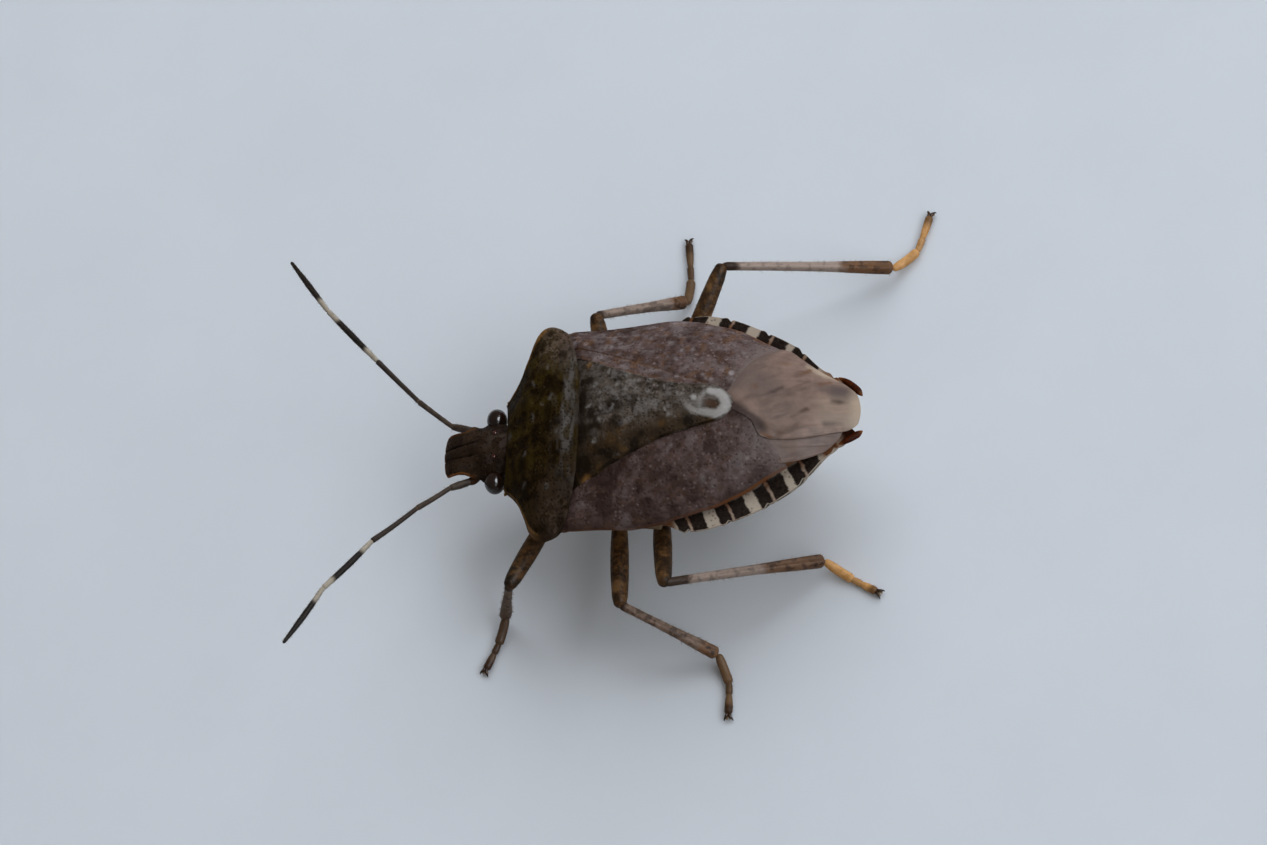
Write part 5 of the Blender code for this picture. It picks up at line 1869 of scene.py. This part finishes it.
    def holes(self, share: Array, y: Array) -> Array:
        """Breathing holes, one a side in the middle of each segment."""
        middles = [(a + b) / 2 for a, b in zip(self.boundaries, self.boundaries[1:])]
        return sum(bell(share, 0.80, 0.018) * bell(y, middle - 0.2, 0.055) for middle in middles)

    def build_lobes(self, shop: Workshop) -> None:
        """Build two dark lobes that end the body on either side of the wing tips.

        Args:
            shop: The workshop.
        """
        t = shares(40)
        radii = self.LOBE_RADIUS(t) * rounded_ends(t, 1.0, 0.14, 0.10)
        shape = Shape()
        for path in self.LOBES:
            rings = rings_round(path(t), radii, 26, 0.85)
            rings = roughen(rings, path(t), 1.0 + self.lobe_grain.sway(rings, 0.06))
            shape.add_tube(rings, rim=0.75 * (1.0 - window(0.22, 0.80, 0.15, t)[:, None]))
        shop.dress(shape, "tail_lobes", TAIL_HORN, [])


@dataclass
class Leg:
    """Femur, tibia and three-part foot of one leg, with its claws and pads."""

    name: str
    # Darkening of the femur and tibia: partly painted shade, strongest on the front legs in the shadow under the body,
    # partly the leg's own duller tone.
    dusk: float = 0.0
    pale_band: tuple[float, float, float] = (0.0, 0.0, 0.0)
    foot_dusk: float = 0.0
    femur_grid: tuple[int, int] = (130, 34)
    tibia_grid: tuple[int, int] = (150, 32)
    foot_grid: tuple[int, int] = (46, 22)
    femur_bristles: int = 170
    tibia_bristles: int = 330
    foot_bristles: int = 95
    ankle_drop: float = 0.06
    foot_heights: tuple[float, float, float] = (0.155, 0.135, 0.145)
    lowest: float = 0.004
    femur_pitting: Pitting = Pitting(0.13, 0.045, 0.05, 201)
    femur_swell: Pattern = Pattern(0.3, 203, 2)
    blotches: Pattern = Pattern(0.34, 205)
    femur_flecks: Pattern = Pattern(0.16, 207, 2)
    tan_patches: Pattern = Pattern(0.5, 209, 2)
    tibia_grain: Pattern = Pattern(0.14, 211, 2)
    frayed: Pattern = Pattern(0.25, 213)
    tibia_flecks: Pattern = Pattern(0.16, 215, 2)

    JOINTS = {
        "front_left": ((1.12, 3.82, 1.77), (4.97, 2.36, 3.05), (4.84, 1.44, 0.49), (5.76, 1.11, 0.17),
                       (6.62, 0.71, 0.15)),
        "middle_left": ((1.45, 5.67, 1.49), (5.68, 6.00, 2.27), (7.00, 8.91, 0.48), (7.93, 9.22, 0.17),
                        (9.01, 9.20, 0.15)),
        "hind_left": ((1.35, 7.10, 1.38), (5.66, 7.88, 3.62), (3.96, 12.55, 0.52), (4.58, 13.44, 0.17),
                      (5.08, 14.23, 0.15)),
        "front_right": ((-0.95, 3.72, 1.52), (-4.40, 3.85, 2.85), (-4.25, 4.70, 0.40), (-4.83, 3.86, 0.17),
                        (-5.30, 3.10, 0.15)),
        "middle_right": ((-1.35, 5.60, 1.43), (-5.19, 4.93, 2.46), (-6.50, 7.57, 0.34), (-7.46, 7.66, 0.17),
                         (-8.92, 7.56, 0.15)),
        "hind_right": ((-1.81, 7.21, 1.49), (-6.28, 9.52, 2.98), (-6.89, 14.93, 0.43), (-7.60, 15.74, 0.17),
                       (-8.90, 16.17, 0.15)),
    }
    FEMUR = Curve(((0.0, 0.17), (0.06, 0.20), (0.13, 0.205), (0.17, 0.19), (0.30, 0.27), (0.60, 0.315),
                   (0.88, 0.275), (1.0, 0.19)))
    TIBIA = Curve(((0.0, 0.11), (0.04, 0.15), (0.12, 0.145), (0.55, 0.165), (0.85, 0.215), (0.97, 0.225),
                   (1.0, 0.18)))
    FOOT = (Curve(((0.0, 0.11), (0.3, 0.160), (0.85, 0.162), (1.0, 0.13))),
            Curve(((0.0, 0.095), (0.5, 0.118), (1.0, 0.125))),
            Curve(((0.0, 0.090), (0.5, 0.135), (0.85, 0.140), (1.0, 0.09))))
    CLAW = Curve(((0.0, 0.058), (0.4, 0.048), (1.0, 0.012)))
    PAD = Curve(((0.0, 0.03), (0.6, 0.055), (1.0, 0.06)))

    @property
    def points(self) -> Array:
        """Root, knee, ankle, middle of the foot and toe."""
        return np.array(self.JOINTS[self.name], float)

    def build(self, shop: Workshop, coat: Coat, strip: float) -> None:
        """Build and dress the leg and grow its bristles.

        Args:
            shop: The workshop.
            coat: Coat that its bristles go into.
            strip: Start of the leg's strip on the coat's map.
        """
        self.build_femur(shop, coat, strip)
        self.build_tibia(shop, coat, strip)
        self.build_foot(shop, coat, strip)

    @staticmethod
    def rod(start: Array, end: Array, radii: Curve, bow: float, rings: int, sides: int,
            tall: float = 1.0) -> tuple[Array, Array, Array]:
        """Rings of a straight or slightly bowed limb.

        Args:
            start: Its first point.
            end: Its last point.
            radii: Radius along its share.
            bow: How far its middle rises.
            rings: Number of rings.
            sides: Points in each ring.
            tall: Height of a ring as a share of its width.

        Returns:
            The rings, their centres and the shares along the limb.
        """
        t = shares(rings)
        length = float(np.linalg.norm(end - start))
        centres = start + (end - start) * t[:, None] + np.sin(math.pi * t)[:, None] * np.array((0.0, 0.0, bow))
        return rings_round(centres, radii(t) * rounded_ends(t, length, 0.10, 0.16), sides, tall, 0.0), centres, t

    def build_femur(self, shop: Workshop, coat: Coat, strip: float) -> None:
        """Build the trochanter and femur.

        Args:
            shop: The workshop.
            coat: Coat that its bristles go into.
            strip: Start of the leg's strip on the coat's map.
        """
        root, knee = self.points[:2]
        way = direction(root, knee)
        rings, centres, t = self.rod(root - way * 0.08, knee + way * 0.10, self.FEMUR, 0.05, *self.femur_grid)
        pit = self.femur_pitting.at(rings)
        rings = roughen(rings, centres, 1.0 - self.femur_pitting.depth * pit + self.femur_swell.sway(rings, 0.03))
        share = t[:, None]
        blotch = self.blotches.at(rings)
        ring = ramp(0.66, 0.78, share) * ramp(0.42, 0.60, blotch) * 0.8
        # Painted shade and the leg's own dull tone, with its dark ring and knee end.
        dusk = held(0.8 * self.dusk + 0.75 * ring + 0.30 * ramp(0.90, 0.97, share))
        tan = (0.6 - 0.45 * self.dusk) * self.tan_patches.patches(rings, 0.52, 0.68)
        tan = tan + 0.5 * fall(0.10, 0.40, share)
        shape = Shape()
        shape.add_tube(rings, dusk=dusk * (0.65 + 0.35 * ramp(0.35, 0.6, blotch)), tan=tan,
                       dark=0.6 * self.femur_flecks.patches(rings, 0.56, 0.66))
        shop.dress(shape, f"femur_{self.name}_skin", FEMUR_SKIN, [f"femur_{self.name}"])
        coat.grow(rings, self.femur_bristles, 0.085, 0.62, (strip + 0.005, strip + 0.045), 0.010, (0.22, 0.97))

    def build_tibia(self, shop: Workshop, coat: Coat, strip: float) -> None:
        """Build the grooved tibia.

        Args:
            shop: The workshop.
            coat: Coat that its bristles go into.
            strip: Start of the leg's strip on the coat's map.
        """
        knee, ankle = self.points[1:3]
        rings, centres, t = self.rod(knee, ankle, self.TIBIA, 0.04, *self.tibia_grid)
        share = t[:, None]
        angle = math.tau * np.arange(rings.shape[1]) / rings.shape[1]
        edges = 0.055 * np.cos(4.0 * (angle - math.pi / 4.0)) * ramp(0.05, 0.2, share)
        gutter = 0.16 * bell(angle, 0.5 * math.pi, 0.34) * ramp(0.06, 0.2, share)
        rings = roughen(rings, centres, 1.0 + edges - gutter + self.tibia_grain.sway(rings, 0.04))
        frayed = share + self.frayed.sway(rings, 0.07)
        low, high, strength = self.pale_band
        pale = strength * window(low, high, 0.06, frayed)
        shade = max(low, 0.10)
        # Painted shade and the leg's own dull tone, with the dark band below the knee; shade here is where that band
        # ends.
        dusk = held(self.dusk * 0.8 + 0.9 * fall(shade - 0.06, shade, frayed))
        dark = 0.7 * self.tibia_flecks.patches(rings, 0.56, 0.66) * (1.0 - 0.6 * pale)
        dark = held(dark + 0.3 * window(0.90, 0.96, 0.02, frayed))
        rust = np.maximum(ramp(high, high + 0.1, frayed) * strength * 0.85,
                          0.75 * window(0.84, 1.0, 0.06, frayed) * (1.0 - self.dusk))
        shape = Shape()
        shape.add_tube(rings, pale=pale, dusk=dusk * (1.0 - pale), dark=dark, rust=rust)
        shop.dress(shape, f"tibia_{self.name}_skin", TIBIA_SKIN, [f"tibia_{self.name}"])
        coat.grow(rings, self.tibia_bristles, 0.13, 0.58, (strip + 0.055, strip + 0.095), 0.011, (0.06, 0.99))

    def build_foot(self, shop: Workshop, coat: Coat, strip: float) -> None:
        """Build the three lengths of the foot, its claws and pads.

        Args:
            shop: The workshop.
            coat: Coat that its bristles go into.
            strip: Start of the leg's strip on the coat's map.
        """
        ankle, middle, toe = self.points[2:]
        step, split = ankle + (middle - ankle) * 0.98, middle + (toe - middle) * 0.36
        step[2], split[2], toe[2] = self.foot_heights
        ankle[2] -= self.ankle_drop
        ends = (ankle, step, split, toe)
        shape = Shape()
        for i, (start, end, radii) in enumerate(zip(ends, ends[1:], self.FOOT)):
            way = direction(start, end)
            bow = -0.02 if i else -0.08
            rings, _, t = self.rod(start - way * 0.05, end + way * 0.05, radii, bow, *self.foot_grid, 0.92)
            dark = self.foot_dusk * 0.6 + (i == 2) * ramp(0.35, 0.8, t[:, None]) * 0.75 + 0.25 * (i == 1)
            shape.add_tube(rings, dusk=self.foot_dusk, dark=held(dark))
            low = strip + 0.105 + 0.02 * i
            coat.grow(rings, self.foot_bristles, 0.075, 0.6, (low, low + 0.015), 0.009)
        shop.dress(shape, f"foot_{self.name}_skin", TARSUS_SKIN, [f"tarsus_{self.name}"], 60.0)
        self.build_claws(shop, toe, direction(split, toe))

    def build_claws(self, shop: Workshop, toe: Array, way: Array) -> None:
        """Build two hooked claws with a soft pad under each.

        Args:
            shop: The workshop.
            toe: End of the foot.
            way: Direction of the foot's last length.
        """
        shape = Shape()
        t = shares(24)
        for sign in (-1.0, 1.0):
            aside = sign * unit(np.cross(way, (0.0, 0.0, 1.0)))
            out = way * 0.72 + aside * 0.52
            hook = Path((toe - way * 0.06 + aside * 0.04, toe + out * 0.11 + (0, 0, 0.035),
                         toe + out * 0.24 + (0, 0, -0.01), toe + out * 0.31 + (0, 0, -0.10)))
            radii = self.CLAW(t) * rounded_ends(t, 0.5, 0.05, 0.02)
            shape.add_tube(rings_round(hook(t), radii, 14, 1.0, self.lowest), black=ramp(0.4, 0.8, t)[:, None])
            pad = Path((toe + (0, 0, -0.03), toe + way * 0.09 + aside * 0.05 + (0, 0, -0.06),
                        toe + way * 0.17 + aside * 0.10 + (0, 0, -0.085)))
            radii = self.PAD(t) * rounded_ends(t, 0.26, 0.03, 0.05)
            shape.add_tube(rings_round(pad(t), radii, 14, 0.6, self.lowest), pad=0.9)
        shop.dress(shape, f"claws_{self.name}", CLAW_HORN, [], 60.0)


@dataclass(frozen=True)
class Panel:
    """Soft rectangular light that points at the bug."""

    name: str
    place: tuple[float, float, float]
    size: tuple[float, float]
    power: float
    diffuse: bool = True
    glossy: bool = True
    colour: Colour = (0.90, 0.95, 1.0)

    def hang(self) -> None:
        """Add the light to the scene."""
        light = bpy.data.lights.new(self.name, "AREA")
        light.shape = "RECTANGLE"
        light.size, light.size_y = self.size
        light.energy = self.power
        light.color = self.colour
        lamp = bpy.data.objects.new(self.name, light)
        lamp.location = self.place
        lamp.rotation_euler = (-Vector(self.place)).to_track_quat("-Z", "Y").to_euler()
        lamp.visible_diffuse = self.diffuse
        lamp.visible_glossy = self.glossy
        bpy.context.scene.collection.objects.link(lamp)


@dataclass
class Studio:
    """Pale floor, soft lights and the camera at the photo's viewing angle."""

    camera_place: tuple[float, float, float] = (62.43200802, 42.18549929, 125.35903335)
    camera_right: tuple[float, float, float] = (-0.0218357, 0.96279284, -0.26935693)
    camera_up: tuple[float, float, float] = (-0.8959312, 0.1007144, 0.43262444)
    lens: float = 120.0
    sensor: float = 36.0
    floor_colour: Colour = (0.68, 0.72, 0.78)
    floor_radius: float = 1.2
    sky_colour: Colour = (1.0, 0.93, 0.84)
    sky_strength: float = 0.20
    panels: tuple[Panel, ...] = (
        Panel("key_panel", (-0.36, 0.03, 0.27), (0.46, 0.46), 1.62, glossy=False),
        Panel("tail_panel", (0.04, 0.335, 0.285), (0.80, 0.24), 1.36),
        Panel("shine_panel", (-0.02, 0.318, 0.318), (0.26, 0.30), 2.6, diffuse=False))

    def build(self, shop: Workshop) -> None:
        """Build the whole set.

        Args:
            shop: The workshop.
        """
        self.build_floor(shop)
        self.build_sky()
        for panel in self.panels:
            panel.hang()
        self.build_camera(shop)

    def build_floor(self, shop: Workshop) -> None:
        """Build the wide pale floor with a faint plaster grain.

        Args:
            shop: The workshop.
        """
        work = bmesh.new()
        bmesh.ops.create_circle(work, cap_ends=True, segments=96, radius=self.floor_radius)
        mesh = bpy.data.meshes.new("studio_floor")
        work.to_mesh(mesh)
        work.free()
        floor = bpy.data.objects.new("studio_floor", mesh)
        bpy.context.scene.collection.objects.link(floor)
        dim = tuple(c * 0.97 for c in self.floor_colour)
        finish = Finish("studio_floor_paint", "floor", self.floor_colour, dim, mottle=(6.0, 0.35, 0.65),
                        roughness=(0.75, 0.85), relief=(0.5, 0.1, 0.004), seed=20.0)
        floor.data.materials.append(finish.material(shop.effects))

    def build_sky(self) -> None:
        """Build a weak warm sky that fills the shadows."""
        world = bpy.data.worlds.new("soft_sky")
        bpy.context.scene.world = world
        world.use_nodes = True
        background = world.node_tree.nodes["Background"]
        background.inputs["Color"].default_value = (*self.sky_colour, 1.0)
        background.inputs["Strength"].default_value = self.sky_strength

    def build_camera(self, shop: Workshop) -> None:
        """Build the camera where the photo was taken from.

        Args:
            shop: The workshop.
        """
        camera = bpy.data.cameras.new("photo_camera")
        camera.lens = self.lens
        camera.sensor_width = self.sensor
        camera.sensor_fit = "HORIZONTAL"
        camera.clip_start = 0.01
        camera.clip_end = 10.0
        item = bpy.data.objects.new("photo_camera", camera)
        right, up = Vector(self.camera_right), Vector(self.camera_up)
        turn = Matrix((right, up, right.cross(up))).transposed()
        place = (Vector(self.camera_place) + shop.shift) * MM
        item.matrix_world = Matrix.Translation(place) @ turn.to_4x4()
        bpy.context.scene.collection.objects.link(item)
        bpy.context.scene.camera = item
        bpy.context.scene.view_settings.view_transform = "Standard"


@dataclass
class ShieldBug:
    """The whole bug."""

    head: Head = field(default_factory=Head)
    rostrum: Rostrum = field(default_factory=Rostrum)
    thorax: Thorax = field(default_factory=Thorax)
    abdomen: Abdomen = field(default_factory=Abdomen)
    membranes: tuple[Membrane, ...] = field(default_factory=lambda: (
        Membrane("membrane_left_sheet", "membrane_left",
                 Path(((0.62, 11.10), (1.12, 11.26), (1.50, 11.58), (1.90, 11.84))),
                 Path(((0.55, 13.95), (0.92, 13.76), (1.20, 13.50), (1.44, 13.20))),
                 drop=0.035, veins=3, rows=100, columns=60, bright=False),
        Membrane("membrane_right_sheet", "membrane_right",
                 Path(((-2.38, 11.80), (-2.12, 11.30), (-1.76, 10.92), (-1.26, 10.56), (-0.66, 10.18), (-0.2, 10.02),
                       (0.12, 10.36), (0.36, 10.78), (0.58, 11.06), (0.84, 11.17), (1.06, 11.30), (1.16, 11.58))),
                 Path(((-2.00, 12.50), (-1.58, 13.06), (-1.28, 13.54), (-1.00, 13.98), (-0.60, 14.34), (0.0, 14.46),
                       (0.42, 14.38), (0.72, 14.00), (0.84, 13.50))),
                 drop=0.0, veins=7, free_from=0.62)))
    forewings: tuple[Forewing, ...] = field(default_factory=lambda: (
        Forewing(Side.LEFT, (0.02, 10.52),
                 Path(((0.02, 10.52), (0.22, 10.94), (0.50, 11.24), (0.80, 11.34), (1.02, 11.44), (1.22, 11.62),
                       (1.52, 11.84), (1.98, 12.06)))),
        Forewing(Side.RIGHT, (0.55, 10.32),
                 Path(((0.55, 10.32), (1.30, 10.74), (1.81, 11.10), (2.20, 11.50), (2.40, 11.92))))))
    scutellum: Scutellum = field(default_factory=Scutellum)
    pronotum: Pronotum = field(default_factory=Pronotum)
    # The first number darkens each leg: painted shade for the most part on the front legs under the body, the leg's own
    # tone for the rest.
    legs: tuple[Leg, ...] = field(default_factory=lambda: (
        Leg("front_left", dusk=0.72, foot_dusk=0.92), Leg("middle_left", dusk=0.08, foot_dusk=0.75),
        Leg("hind_left", dusk=0.30, pale_band=(0.18, 0.58, 0.68), foot_dusk=0.05),
        Leg("front_right", dusk=0.55, foot_dusk=0.92),
        Leg("middle_right", dusk=0.10, pale_band=(0.10, 0.80, 0.60), foot_dusk=0.80),
        Leg("hind_right", dusk=0.20, pale_band=(0.11, 0.66, 0.95), foot_dusk=0.05)))

    def build(self, shop: Workshop) -> None:
        """Build all sub-assemblies in order.

        Args:
            shop: The workshop.
        """
        for part in (self.head, self.rostrum, self.thorax, self.abdomen, *self.membranes, *self.forewings,
                     self.scutellum, self.pronotum):
            part.build(shop)
        feeler_coat, leg_coat = Coat(), Coat()
        for side in Side:
            Eye(side).build(shop)
            Antenna(side).build(shop, feeler_coat)
        for number, leg in enumerate(self.legs):
            leg.build(shop, leg_coat, number / len(self.legs))
        feeler_coat.make(shop, "feeler_down", "antenna")
        leg_coat.make(shop, "leg_bristles", "tibia")


def main() -> None:
    """Build the looks round the frame."""
    logging.basicConfig(level=logging.INFO, format="%(name)s: %(message)s")
    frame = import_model()
    log.info("%d solids in the frame", len(frame["nodes"]))
    shop = Workshop()
    Studio().build(shop)
    ShieldBug().build(shop)
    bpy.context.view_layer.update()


if __name__ == "__main__":
    main()
